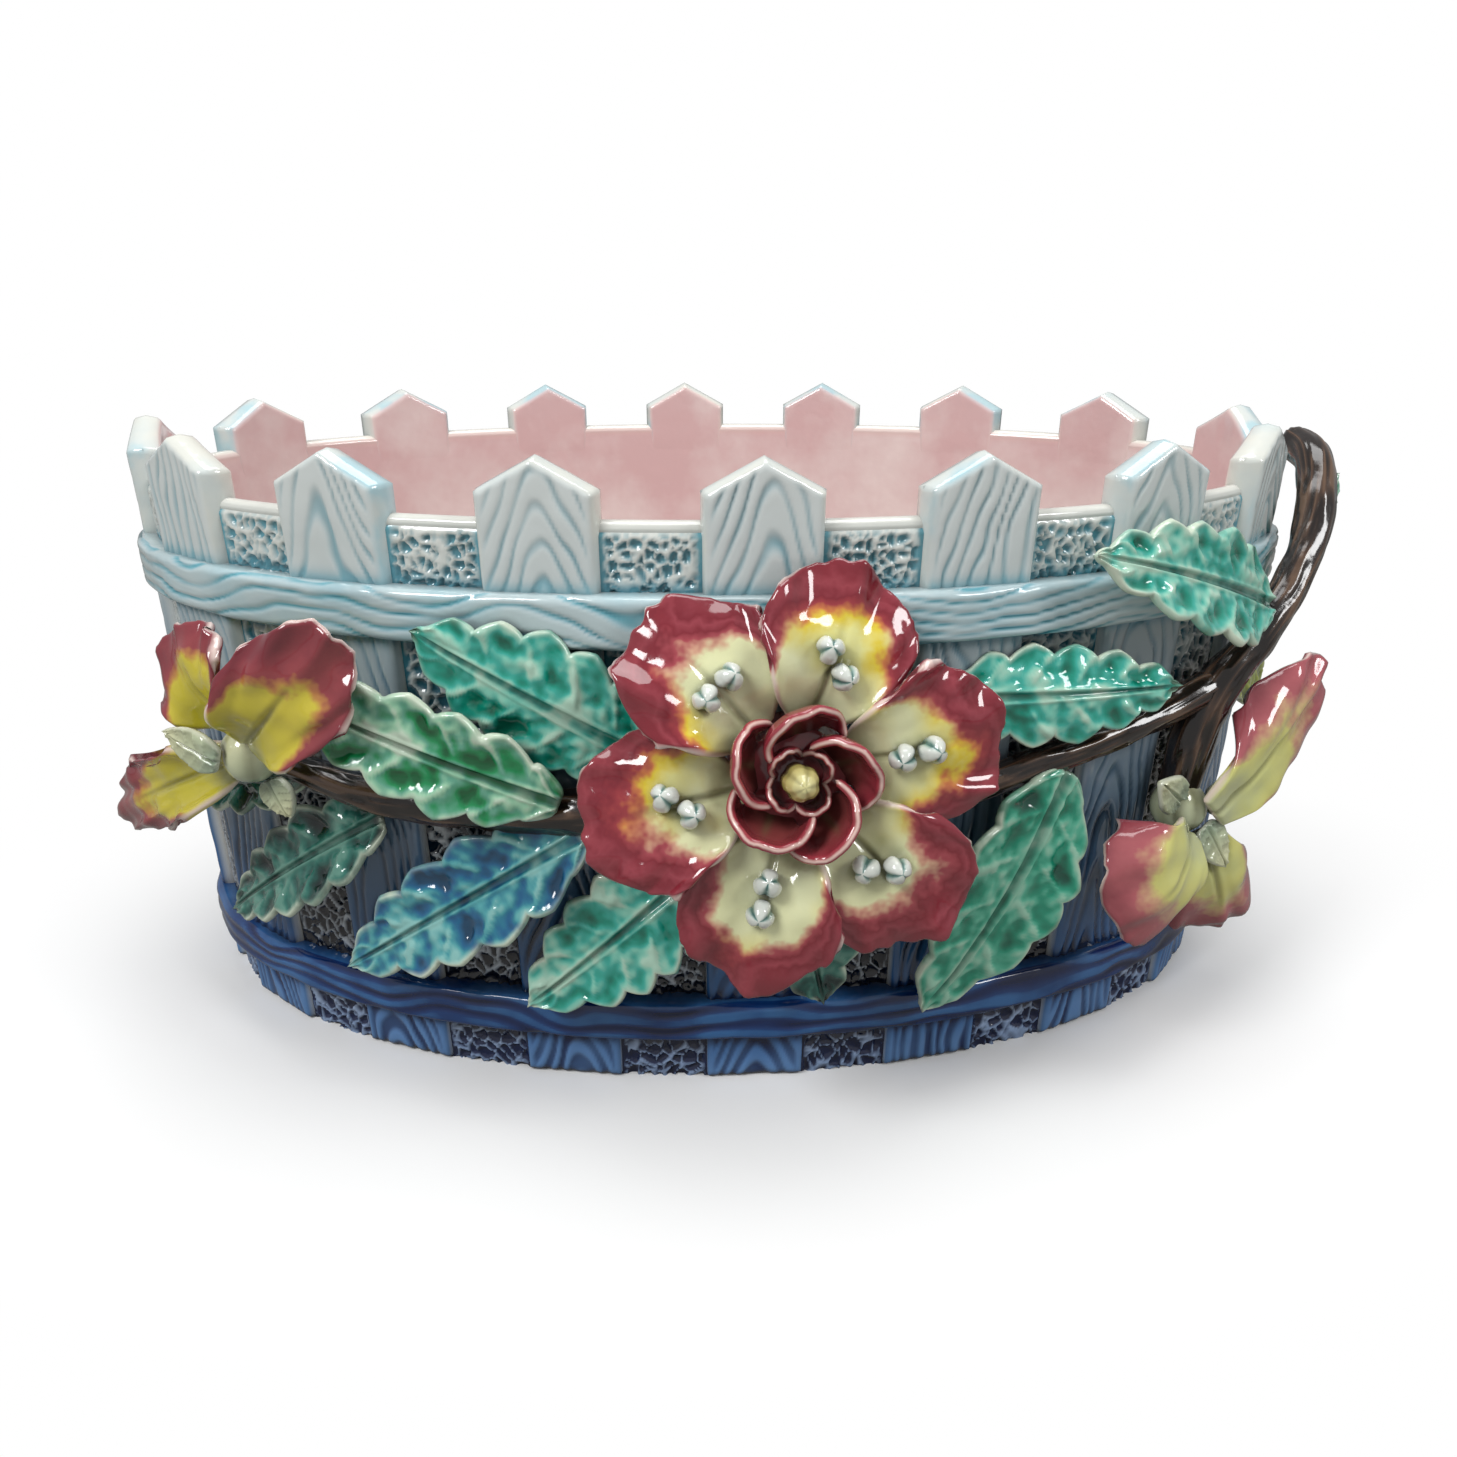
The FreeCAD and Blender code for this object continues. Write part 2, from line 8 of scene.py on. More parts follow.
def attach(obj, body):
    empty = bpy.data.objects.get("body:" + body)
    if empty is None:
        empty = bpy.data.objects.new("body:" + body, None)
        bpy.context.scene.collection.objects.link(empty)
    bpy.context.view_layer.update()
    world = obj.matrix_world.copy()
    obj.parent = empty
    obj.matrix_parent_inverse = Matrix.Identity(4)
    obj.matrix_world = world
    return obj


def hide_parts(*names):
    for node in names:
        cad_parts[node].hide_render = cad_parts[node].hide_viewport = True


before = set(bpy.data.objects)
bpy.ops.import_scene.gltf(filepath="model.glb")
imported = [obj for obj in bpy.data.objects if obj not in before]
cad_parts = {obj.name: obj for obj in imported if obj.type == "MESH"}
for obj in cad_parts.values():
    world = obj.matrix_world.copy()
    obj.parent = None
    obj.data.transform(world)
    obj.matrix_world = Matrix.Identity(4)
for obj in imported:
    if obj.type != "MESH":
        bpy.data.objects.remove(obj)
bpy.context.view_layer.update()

# ---- Tub wall ------------------------------------------------------------------------------
# The plain oval casting behind the fence: a hollow earthenware wall with a flat foot and floor,
# slip-cast in one with the pickets. Pink lead glaze runs over the inside, thin and pale on the rim.
mm = 0.001
rim_length = 400 * mm
rim_depth = 234 * mm
wall_taper = 13 * mm
rim_height = 185 * mm
picket_relief = 3.5 * mm
wall_thickness = 6 * mm
floor_thickness = 9 * mm
inside_corner = 14 * mm


def half_axes(height, out):
    """Half length and half depth of the oval through the picket faces, moved out."""
    inset = wall_taper * (1 - height / rim_height)
    return rim_length / 2 - inset + out, rim_depth / 2 - inset + out


girth_angles = np.linspace(0, np.pi, 721)
mid_length, mid_depth = half_axes(rim_height / 2, 0)
girth_steps = np.hypot(mid_length * np.cos(girth_angles), mid_depth * np.sin(girth_angles))
girth_lengths = np.concatenate([[0], np.cumsum((girth_steps[1:] + girth_steps[:-1]) / 2) * np.pi / 720])
half_girth = girth_lengths[-1]


def angle_at(along):
    along = (along + 1) % 2 - 1
    return np.sign(along) * np.interp(np.abs(along), girth_lengths / half_girth, girth_angles)


def on_wall(along, height, out):
    """Points at a share of half the girth from the front centre, at a height, out from the picket faces."""
    half_length, half_depth = half_axes(height, out)
    angle = angle_at(along)
    return np.stack([half_length * np.sin(angle), -half_depth * np.cos(angle), height + 0 * angle], axis=-1)


def unit(ways):
    return ways / np.linalg.norm(ways, axis=-1, keepdims=True)


def wall_out(along):
    """Level direction straight out of the wall."""
    angle = angle_at(along)
    return unit(np.array([mid_depth * np.sin(angle), -mid_length * np.cos(angle), 0.0]))


def model(name, columns, rows, place, glaze, node):
    """A piece of clay: a grid whose points go where place says, closed where its edges meet."""
    bpy.ops.mesh.primitive_grid_add(x_subdivisions=columns, y_subdivisions=rows, size=1)
    piece = bpy.context.object
    piece.name = name
    piece.data.name = name
    flat = np.empty(len(piece.data.vertices) * 3)
    piece.data.vertices.foreach_get("co", flat)
    flat = flat.reshape(-1, 3).round(6)
    order = np.lexsort((flat[:, 0], flat[:, 1]))
    shape = (-1, len(np.unique(flat[:, 0])))
    u = flat[order, 0].reshape(shape) + 0.5
    v = flat[order, 1].reshape(shape) + 0.5
    points, marks = place(u, v)
    flat[order] = points.reshape(-1, 3)
    piece.data.vertices.foreach_set("co", flat.ravel())
    for mark, values in marks.items():
        spread = np.empty(len(flat))
        spread[order] = values.ravel()
        piece.data.attributes.new(mark, "FLOAT", "POINT").data.foreach_set("value", spread)
    bpy.ops.object.mode_set(mode="EDIT")
    bpy.ops.mesh.select_all(action="SELECT")
    bpy.ops.mesh.remove_doubles(threshold=0.01 * mm)
    bpy.ops.mesh.dissolve_degenerate(threshold=0.005 * mm)
    bpy.ops.mesh.normals_make_consistent(inside=False)
    bpy.ops.object.mode_set(mode="OBJECT")
    bpy.ops.object.shade_smooth()
    piece.data.materials.append(glaze)
    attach(piece, "root")
    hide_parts(node)


def linear(code):
    """An sRGB hex colour as linear red, green, blue and alpha."""
    parts = [int(code[i:i + 2], 16) / 255 for i in (1, 3, 5)]
    return tuple(c / 12.92 if c <= 0.04045 else ((c + 0.055) / 1.055) ** 2.4 for c in parts) + (1.0,)


def add(tree, kind, take=0, **settings):
    """One node of a material: each setting is a socket or a value of the node, and stops are those of a ramp.

    A socket goes by its identifier, with _ for a space."""
    node = tree.nodes.new("ShaderNode" + kind)
    for key, value in settings.items():
        if key == "stops":
            ramp = node.color_ramp
            ramp.elements.remove(ramp.elements[-1])
            for number, (spot, code) in enumerate(value):
                stop = ramp.elements.new(spot) if number else ramp.elements[0]
                stop.position = spot
                stop.color = linear(code)
            continue
        sockets = {socket.identifier.replace(" ", "_"): socket for socket in node.inputs}
        if key not in sockets:
            setattr(node, key, value)
        elif isinstance(value, bpy.types.NodeSocket):
            tree.links.new(value, sockets[key])
        else:
            sockets[key].default_value = linear(value) if isinstance(value, str) else value
    outputs = {socket.identifier: socket for socket in node.outputs}
    return outputs[take] if isinstance(take, str) else node.outputs[take]


def new_glaze(name):
    """A new material, its nodes, and the place on the planter, which its colours start from."""
    material = bpy.data.materials.new(name)
    material.use_nodes = True
    material.node_tree.nodes.clear()
    return material, material.node_tree, add(material.node_tree, "TexCoord", take="Object")


def fire(tree, place, colour, gloss=0.10, ripple=0.25):
    """The glassy top of a lead glaze: a sharp shine on a surface that ripples, with painted shade darkening the
    corners.
    """
    # Painted shade: the colour darkens to near black (#221F20) where ambient occlusion finds corners and
    # crevices.
    open_sky = add(tree, "AmbientOcclusion", take="AO", samples=4, Distance=7 * mm)
    painted_shade = add(tree, "MapRange", Value=open_sky, From_Min=0.15, From_Max=0.70, To_Min=0.62, To_Max=0.0)
    colour = add(tree, "Mix", take="Result_Color", data_type="RGBA",
                 Factor_Float=painted_shade, A_Color=colour, B_Color="#221F20")
    slow = add(tree, "TexNoise", take="Fac", Vector=place, Scale=1 / (9 * mm), Detail=2.0)
    fine = add(tree, "TexNoise", take="Fac", Vector=place, Scale=1 / (1.6 * mm), Detail=2.0)
    both = add(tree, "Math", operation="MULTIPLY_ADD", Value=fine, Value_001=0.12, Value_002=slow)
    bump = add(tree, "Bump", Strength=ripple, Distance=1.0 * mm, Height=both)
    rough = add(tree, "Math", operation="MULTIPLY_ADD", Value=fine, Value_001=0.10, Value_002=gloss - 0.05)
    shader = add(tree, "BsdfPrincipled", Base_Color=colour, Roughness=rough, IOR=1.56, Normal=bump,
                 Coat_Weight=0.35, Coat_Roughness=0.03)
    tree.links.new(shader, tree.nodes.new("ShaderNodeOutputMaterial").inputs["Surface"])


def pink(tree, place):
    """Colour of the glaze inside: brushed unevenly, deeper towards the rim."""
    height = add(tree, "SeparateXYZ", take="Z", Vector=place)
    cloud = add(tree, "TexNoise", take="Fac", Vector=place, Scale=1 / (38 * mm), Detail=4.0, Roughness=0.6)
    thick = add(tree, "MapRange", Value=height, From_Min=90 * mm, From_Max=185 * mm, To_Min=0.10, To_Max=-0.14)
    coat = add(tree, "Math", operation="ADD", Value=cloud, Value_001=thick)
    return add(tree, "ValToRGB", Fac=coat, stops=[(0.28, "#CFADAC"), (0.48, "#D9C3C0"), (0.70, "#E4D6D1")])


inside_glaze, tree, place = new_glaze("pink_lead_glaze")
zone = add(tree, "Attribute", take="Fac", attribute_name="zone")
brushed = pink(tree, place)
edge = add(tree, "ValToRGB", Fac=zone, stops=[(0.0, "#B9A894"), (0.12, "#1A2C50"), (0.40, "#C9CDC8"),
                                              (0.60, "#D9D5CC"), (0.74, "#DDBDB8")])
inner = add(tree, "MapRange", Value=zone, From_Min=0.62, From_Max=0.80)
fire(tree, place, add(tree, "Mix", take="Result_Color", data_type="RGBA",
                      Factor_Float=inner, A_Color=edge, B_Color=brushed))

panel_thickness = 1.2 * mm
rim_radius = 2.6 * mm
rim_swell = 0.6 * mm
inner_out = -picket_relief - wall_thickness
outer_out = -picket_relief - panel_thickness
# Stops of the wall's section: height, distance out, share of the oval, and the zone of the glaze.
wall_profile = [(0.0, outer_out, 0.0, 0.0), (0.0, outer_out, 0.5, 0.0), (0.0, outer_out, 0.985, 0.0),
                (2 * mm, outer_out, 1.0, 0.12), (60 * mm, outer_out, 1.0, 0.12),
                (120 * mm, outer_out, 1.0, 0.12), (180.5 * mm, outer_out, 1.0, 0.2)]
rim_middle = (outer_out + inner_out) / 2 + rim_swell
rim_half = (outer_out - inner_out) / 2 + rim_swell
for turn in np.linspace(-0.1, 1.1, 9) * np.pi:
    wall_profile.append((rim_height - rim_radius + rim_radius * math.sin(turn),
                         rim_middle + rim_half * math.cos(turn), 1.0, 0.4 + 0.3 * turn / np.pi))
for height in np.linspace(176, 26, 16) * mm:
    wall_profile.append((height, inner_out, 1.0, 1.0))
for turn in np.linspace(0.1, 1.0, 8) * np.pi / 2:
    wall_profile.append((floor_thickness + inside_corner * (1 - math.sin(turn)),
                         inner_out - inside_corner * (1 - math.cos(turn)), 1.0, 1.0))
for share in (0.75, 0.5, 0.25, 0.0):
    wall_profile.append((floor_thickness, inner_out - inside_corner, share, 1.0))


def wall_place(u, v):
    stops = np.linspace(0, 1, len(wall_profile))
    height, out, share, zone = [np.interp(v, stops, column) for column in np.array(wall_profile).T]
    points = on_wall(2 * u - 1, height, out)
    points[..., :2] *= share[..., None]
    return points, {"zone": zone}


model("Tub_Wall", 240, 3 * (len(wall_profile) - 1), wall_place, inside_glaze, "tub_body")

# ---- Pitted panels -------------------------------------------------------------------------
# The wall between the pickets, pricked all over with a blunt tool before it dried, in one with the
# casting. The glaze runs off the ridges, which stay whitish, and pools dark in the pits.
picket_count = 16
first_picket = 0.17
picket_foot_width = 32 * mm
picket_top_width = 34.5 * mm
upper_hoop_span = (149 * mm, 165 * mm)
lower_hoop_span = (17 * mm, 31 * mm)
upper_pit = 3.0 * mm
lower_pit = 4.0 * mm
pit_depth = 1.6 * mm
panel_step = 0.7 * mm
panel_lap = 1.5 * mm
panel_drop = 1.6 * mm


def smooth(low, high, value):
    share = np.clip((value - low) / (high - low), 0, 1)
    return share * share * (3 - 2 * share)


def mottle(x, y, z):
    """Soft noise from -1 to 1 at places given in its own grain, each as an array or one value."""
    spots = np.stack(np.broadcast_arrays(x, y, z), axis=-1)
    return np.array([noise.noise(spot) for spot in spots.reshape(-1, 3)]).reshape(spots.shape[:-1])


def pool_by_hoops(height):
    """Where the glaze gathers along the edges of the two hoops."""
    edges = upper_hoop_span + lower_hoop_span
    return sum(np.exp(-((height - edge) / (2.6 * mm)) ** 2) for edge in edges)


def picket_along(index):
    return 2 * (index + first_picket) / picket_count


def picket_width(height):
    return picket_foot_width + (picket_top_width - picket_foot_width) * height / rim_height


# Blue glaze on the wall, by height: pale turquoise at the rim, slate in the middle, cobalt at the foot.
panel_glaze, tree, place = new_glaze("blue_lead_glaze_on_pits")
height = add(tree, "SeparateXYZ", take="Z", Vector=place)
cloud = add(tree, "TexNoise", take="Fac", Vector=place, Scale=1 / (22 * mm), Detail=3.0)
drift = add(tree, "Math", operation="MULTIPLY_ADD", Value=cloud, Value_001=0.10, Value_002=-0.05)
level = add(tree, "Math", operation="MULTIPLY_ADD", Value=height, Value_001=1 / (200 * mm), Value_002=drift)
ridge = add(tree, "ValToRGB", Fac=level, stops=[(0.03, "#93ABD0"), (0.12, "#B4BFCC"), (0.30, "#BCC3CA"),
                                                (0.62, "#B6BDBD"), (0.80, "#CBD0CC"), (0.95, "#D6D9D3")])
pool = add(tree, "ValToRGB", Fac=level, stops=[(0.02, "#071A44"), (0.14, "#040A1C"), (0.36, "#060C1C"),
                                               (0.60, "#15303F"), (0.78, "#43879A"), (0.95, "#6BA4B0")])
carve = add(tree, "Attribute", take="Fac", attribute_name="carve")
runny = add(tree, "MapRange", Value=height, From_Min=60 * mm, From_Max=160 * mm, To_Min=0.52, To_Max=0.85)
carve = add(tree, "MapRange", Value=carve, From_Min=0.04, From_Max=runny)
fire(tree, place, add(tree, "Mix", take="Result_Color", data_type="RGBA",
                      Factor_Float=carve, A_Color=ridge, B_Color=pool))

for index in range(picket_count):
    start = picket_along(index)
    span = 2 / picket_count

    def panel_place(u, v):
        height = (rim_height - panel_drop) * v
        edge = (picket_width(height) / 2 - panel_lap) / half_girth
        along = start + edge + (span - 2 * edge) * u
        across = along * half_girth
        pit_size = np.where(height > sum(upper_hoop_span) / 2, upper_pit, lower_pit)
        bend = 0.4 * mottle(across / (6 * mm), height / (6 * mm), 7.3)
        spots = np.stack([across / pit_size + bend, 0.85 * height / pit_size - bend, 0 * across + 2.7], axis=-1)
        near = np.array([noise.voronoi(spot)[0][:2] for spot in spots.reshape(-1, 3)])
        gap = (near[:, 1] - near[:, 0]).reshape(across.shape)
        grain = mottle(across / (1.9 * mm), height / (1.9 * mm), 3.1)
        ridge = np.interp(height, [70 * mm, 165 * mm], [-0.03, 0.03])
        pit = smooth(ridge, ridge + 0.36, gap + 0.05 * grain)
        side = np.minimum(u, 1 - u) * (span - 2 * edge) * half_girth - panel_lap
        band = np.exp(-np.clip(side, 0, 1) / (0.9 * mm))
        pool = np.clip(np.maximum(pool_by_hoops(height), band), 0, 1)
        frame_edge = smooth(0, 2.2 * mm, side) * smooth(0, 3 * mm, rim_height - 3 * mm - height)
        carve = np.clip(pit * (0.25 + 0.75 * frame_edge) + 0.8 * pool, 0, 1)
        depth = pit_depth * pit * frame_edge - 0.5 * mm * (0.4 * grain + 0.6) * frame_edge
        foot = smooth(20 * mm, 12 * mm, height)
        out = -picket_relief + (0.6 + 1.2 * foot) * mm - depth - panel_drop * smooth(0.985, 1.0, v)
        return on_wall(along, height, out), {"carve": carve}

    columns = round((span * half_girth - picket_foot_width) / panel_step)
    model("Panel_%02d" % (index + 1), columns, round(rim_height / panel_step), panel_place, panel_glaze,
          "tub_body")

# ---- Pickets -------------------------------------------------------------------------------
# Sixteen gabled boards of the fence, cast in one with the wall and cut with wood grain by hand.
# White clay shows through the thin glaze; turquoise gathers in the grooves and along the hoops.
picket_top = 203 * mm
gable_rise = 9.5 * mm
grain_pitch = 4.2 * mm
grain_depth = 0.8 * mm


def pressed(sheet, thickness, lip, squareness=2.0, behind=None):
    """Place function of a closed pad of clay: its front follows sheet(out, side), its edges are rounded.

    Its back lies a thickness behind, or where the function behind(out, side) says."""
    def place(u, v):
        half = v.shape[0] // 2 + 1
        side = 2 * u[:half] - 1
        out = 2 * v[:half]
        front, relief, marks = sheet(out, side)
        across = np.gradient(front, axis=1)
        along = np.gradient(front, axis=0)
        normal = np.cross(across, along)
        normal = normal / (np.linalg.norm(normal, axis=-1, keepdims=True) + 1e-15)
        steps = np.linalg.norm(np.diff(front, axis=1), axis=-1)
        from_left = np.concatenate([np.zeros((half, 1)), np.cumsum(steps, axis=1)], axis=1)
        from_right = from_left[:, -1:] - from_left
        steps = np.linalg.norm(np.diff(front, axis=0), axis=-1)
        from_root = np.concatenate([np.zeros((1, u.shape[1])), np.cumsum(steps, axis=0)], axis=0)
        from_tip = from_root[-1:] - from_root
        edge = np.minimum(np.minimum(from_left, from_right), np.minimum(from_root, from_tip))
        back = behind(out, side) if behind else front - normal * thickness
        swell = (1 - (1 - np.clip(edge / lip, 0, 1)) ** squareness) ** (1 / squareness)
        middle = (front + back) / 2
        face = middle + (front - middle) * swell[..., None] + normal * (relief * swell)[..., None]
        back = middle + (back - middle) * swell[..., None]
        marks["rim"] = np.exp(-edge / (1.1 * mm))
        points = np.concatenate([face, back[::-1][1:]])
        spread = {key: np.concatenate([values, values[::-1][1:]]) for key, values in marks.items()}
        spread["back"] = np.concatenate([0.5 - 0.5 * swell, (0.5 + 0.5 * swell)[::-1][1:]])
        return points, spread
    return place


picket_glaze, tree, place = new_glaze("blue_lead_glaze_on_boards")
height = add(tree, "SeparateXYZ", take="Z", Vector=place)
cloud = add(tree, "TexNoise", take="Fac", Vector=place, Scale=1 / (30 * mm), Detail=4.0)
drift = add(tree, "Math", operation="MULTIPLY_ADD", Value=cloud, Value_001=0.12, Value_002=-0.06)
level = add(tree, "Math", operation="MULTIPLY_ADD", Value=height, Value_001=1 / (200 * mm), Value_002=drift)
face = add(tree, "ValToRGB", Fac=level, stops=[
    (0.03, "#5E88BC"), (0.11, "#34649E"), (0.22, "#305C8C"), (0.34, "#4A6C8E"),
    (0.52, "#7E8F9E"), (0.72, "#A2B0B6"), (0.80, "#C4CDCD"), (0.96, "#CFD6D5")])
groove = add(tree, "ValToRGB", Fac=level, stops=[
    (0.03, "#061C4C"), (0.12, "#06163A"), (0.24, "#0A1C38"), (0.42, "#1A354E"),
    (0.68, "#3F6C84"), (0.80, "#72A6B3"), (0.96, "#93B0B7")])
carve, back, rim = [add(tree, "Attribute", take="Fac", attribute_name=mark)
                    for mark in ("carve", "back", "rim")]
front = add(tree, "Mix", take="Result_Color", data_type="RGBA",
            Factor_Float=carve, A_Color=face, B_Color=groove)
lip = add(tree, "ValToRGB", Fac=back, stops=[(0.45, "#D9DCD9"), (0.80, "#DEDAD2"), (0.97, "#E0BDBA")])
behind = add(tree, "MapRange", Value=back, From_Min=0.96, From_Max=1.0)
lip = add(tree, "Mix", take="Result_Color", data_type="RGBA",
          Factor_Float=behind, A_Color=lip, B_Color=pink(tree, place))
turn_over = add(tree, "MapRange", Value=back, From_Min=0.15, From_Max=0.55)
body = add(tree, "Mix", take="Result_Color", data_type="RGBA",
           Factor_Float=turn_over, A_Color=front, B_Color=lip)
upper = add(tree, "MapRange", Value=height, From_Min=150 * mm, From_Max=172 * mm, To_Max=0.75)
bare = add(tree, "MapRange", Value=rim, From_Min=0.06, From_Max=0.35)
bare = add(tree, "Math", operation="MULTIPLY", Value=bare, Value_001=upper)
pale = add(tree, "ValToRGB", Fac=cloud, stops=[(0.40, "#9CC4CE"), (0.48, "#C6CFCD"), (0.62, "#D6D6CC")])
fire(tree, place, add(tree, "Mix", take="Result_Color", data_type="RGBA",
                      Factor_Float=bare, A_Color=body, B_Color=pale))


def board_spot(out, side):
    """Top of the gable, height and distance across at a spot of a board."""
    top = picket_top - gable_rise * np.abs(side)
    height = top * out
    return top, height, picket_width(np.minimum(height, picket_top - gable_rise)) / 2 * side


for index in range(picket_count):
    along = picket_along(index)
    across_way = np.cross([0, 0, 1], wall_out(along))

    def board(out, side):
        top, height, across = board_spot(out, side)
        points = on_wall(along + 0 * height, height, 0 * height) + across[..., None] * across_way
        x, z = across / mm, height / mm
        wobble = 3.0 * mottle(x / 13, z / 30, 5.0 * index) + 0.8 * mottle(x / 5, z / 14, 2.0 * index)
        if index % 3 == 0:
            flow = np.sqrt((x - 2) ** 2 + 9) + 0.36 * (z - 60) + wobble
        elif index % 3 == 1:
            flow = x + 5 * np.sin(z / 24 + index) + 1.6 * wobble
        else:
            flow = np.sqrt((x + 3) ** 2 + 16) * (1.15 + 0.25 * np.sin(z / 30)) + 0.2 * z + 1.3 * wobble
        ripple = np.abs((flow / (grain_pitch / mm)) % 1 - 0.5) * 2
        strength = 0.75 + 0.5 * mottle(x / 9, z / 22, 3.3 + index)
        rim = np.minimum((1 - np.abs(side)) * picket_width(0) / 2, top - height)
        thin = np.interp(height, [25 * mm, 110 * mm], [0.26, 0.52])
        cut = smooth(thin, thin + 0.45, ripple) * np.clip(strength, 0.3, 1) * smooth(1.6 * mm, 4.0 * mm, rim)
        carve = np.clip(cut + 0.85 * pool_by_hoops(height), 0, 1)
        lump = 0.25 * mm * mottle(x / 8, z / 12, 9.0 + index)
        return points, lump - grain_depth * cut, {"carve": carve}

    def inner_face(out, side):
        _, height, across = board_spot(out, side)
        upper = 3.3 * mm * smooth(110 * mm, 150 * mm, height) + 0.35 * mm * smooth(166 * mm, 181 * mm, height)
        depth = wall_thickness + upper
        return on_wall(along + across / half_girth, height, -depth)

    model("Picket_%02d" % (index + 1), 44, 440, pressed(board, 0, 3.2 * mm, 2.3, inner_face), picket_glaze,
          "tub_body")

# ---- Hoops ---------------------------------------------------------------------------------
# Two flat straps of clay laid round the fence and scored with long wood grain. They are luted on with
# slip; the upper one is glazed pale turquoise and the lower one deep cobalt. Each is made lighter along
# its top edge as a painted highlight and darker along its lower edge as painted shade.
hoop_relief = 4 * mm
hoop_ease = 2.5 * mm
hoop_tuck = 6 * mm


def grooved_glaze(name, patch, detail, uneven, shift, stops, **finish):
    """A glaze that leaves the ridges pale and gathers in the grooves, thicker in some patches; on the hoops it
    also shows painted light.
    """
    material, tree, place = new_glaze(name)
    cloud = add(tree, "TexNoise", take="Fac", Vector=place, Scale=1 / patch, Detail=detail)
    carve = add(tree, "Attribute", take="Fac", attribute_name="carve")
    drift = add(tree, "Math", operation="MULTIPLY_ADD", Value=cloud, Value_001=uneven, Value_002=shift)
    depth = add(tree, "Math", operation="ADD", Value=carve, Value_001=drift)
    fire(tree, place, add(tree, "ValToRGB", Fac=depth, stops=stops), **finish)
    return material


turquoise_glaze = grooved_glaze("turquoise_lead_glaze", 26 * mm, 3.0, 1.1, -0.47, [
    (0.0, "#B9CACD"), (0.30, "#A2C0C8"), (0.70, "#69A8B6"), (1.0, "#3A8496")])
cobalt_glaze = grooved_glaze("cobalt_lead_glaze", 26 * mm, 3.0, 1.1, -0.47, [
    (0.0, "#33679F"), (0.25, "#113A72"), (0.60, "#08265A"), (1.0, "#04133A")])

for name, node, (bottom, top), hoop_glaze, pitch, thin, soft, groove_depth, seed in (
        ("Upper_Hoop", "upper_hoop", upper_hoop_span, turquoise_glaze, 4.6, 0.58, 0.40, 0.9 * mm, 1.0),
        ("Lower_Hoop", "lower_hoop", lower_hoop_span, cobalt_glaze, 6.4, 0.28, 0.65, 0.6 * mm, 6.0)):

    def strap(u, v):
        along = 2 * u - 1
        turn = np.interp(v, [0, 0.08, 0.26, 0.74, 0.92, 1], [-2, -1, 0, 0, 1, 2])
        flat = np.interp(v, [0.26, 0.74], [0, 1])
        height = bottom + hoop_ease + (top - bottom - 2 * hoop_ease) * flat
        ease = np.clip(turn, -1, 1)
        height = height + hoop_ease * np.sin(ease * np.pi / 2)
        out = hoop_relief - hoop_ease * (1 - np.cos(ease * np.pi / 2))
        out = out - hoop_tuck * np.clip(np.abs(turn) - 1, 0, 1)
        z = height / mm
        ring_x, ring_y = np.sin(along * np.pi), np.cos(along * np.pi)
        drift = 9 * mottle(3.4 * ring_x + seed, 3.4 * ring_y, z / 30)
        drift = drift + 4 * mottle(8 * ring_x, 8 * ring_y + seed, z / 12)
        ripple = np.abs(((z + drift) / pitch) % 1 - 0.5) * 2
        strength = np.clip(0.8 + 0.6 * mottle(6 * ring_x, 6 * ring_y, z / 6 + seed), 0.15, 1)
        cut = smooth(thin, thin + soft, ripple) * strength * smooth(0, 0.3, 1.05 - np.abs(turn))
        # Painted light: the top edge is made lighter as a painted highlight and the lower edge darker as
        # painted shade.
        carve = np.clip(0.9 * cut + 0.5 * np.clip(-turn, 0, 1) - 0.25 * np.clip(turn, 0, 1), 0, 1)
        lump = 0.35 * mm * mottle(14 * ring_x, 14 * ring_y, seed)
        return on_wall(along, height, out + lump - groove_depth * cut), {"carve": carve}

    model(name, 900, 26, strap, hoop_glaze, node)

# ---- Branches ------------------------------------------------------------------------------
# Rolled clay rods scored like bark, bent to shape and luted to the wall: one comes over the rim at the
# right and forks towards the blossom, one runs out to the left bud. Dark brown glaze, paler on the ridges.
branch_lift = 10 * mm
bark_depth = 0.55 * mm
# Radius of each rod, and stops along it: share of half the girth, share of the rim height, lift, thickness.
branches = {
    "right_branch": (6.5 * mm, [
        (0.470, 1.050, 0.30, 0.90), (0.440, 1.020, 1.00, 0.95), (0.410, 0.930, 1.40, 0.95),
        (0.380, 0.830, 1.40, 0.85), (0.350, 0.740, 1.20, 0.90), (0.326, 0.670, 0.90, 1.05),
        (0.312, 0.580, 0.80, 1.10), (0.305, 0.460, 0.80, 0.95)]),
    "left_branch": (6.5 * mm, [
        (-0.268, 0.630, 1.90, 0.55), (-0.250, 0.575, 1.00, 0.70), (-0.206, 0.537, 0.60, 0.85),
        (-0.149, 0.535, 0.50, 1.00), (-0.085, 0.539, 0.55, 1.05), (-0.030, 0.560, 0.70, 1.00)]),
    "right_fork": (4.8 * mm, [
        (0.085, 0.550, 0.70, 0.95), (0.132, 0.544, 0.50, 1.00), (0.188, 0.584, 0.50, 1.00),
        (0.237, 0.609, 0.50, 1.00), (0.284, 0.640, 0.60, 1.05), (0.325, 0.672, 0.80, 1.10)]),
}


def spot_on_wall(shares, lift):
    return on_wall(np.array(shares[0]), np.array(shares[1] * rim_height), np.array(shares[2] * lift))


def curve_through(stops, share):
    """Smooth line through the stops; share runs from 0 at the first to 1 at the last."""
    stops = np.concatenate([2 * stops[:1] - stops[1:2], stops, 2 * stops[-1:] - stops[-2:-1]])
    step = np.clip(share, 0, 1) * (len(stops) - 3)
    first = np.minimum(step.astype(int), len(stops) - 4)
    t = (step - first)[..., None]
    a, b, c, d = (stops[first + i] for i in range(4))
    return 0.5 * (2 * b + (c - a) * t + (2 * a - 5 * b + 4 * c - d) * t ** 2 + (3 * b - a - 3 * c + d) * t ** 3)


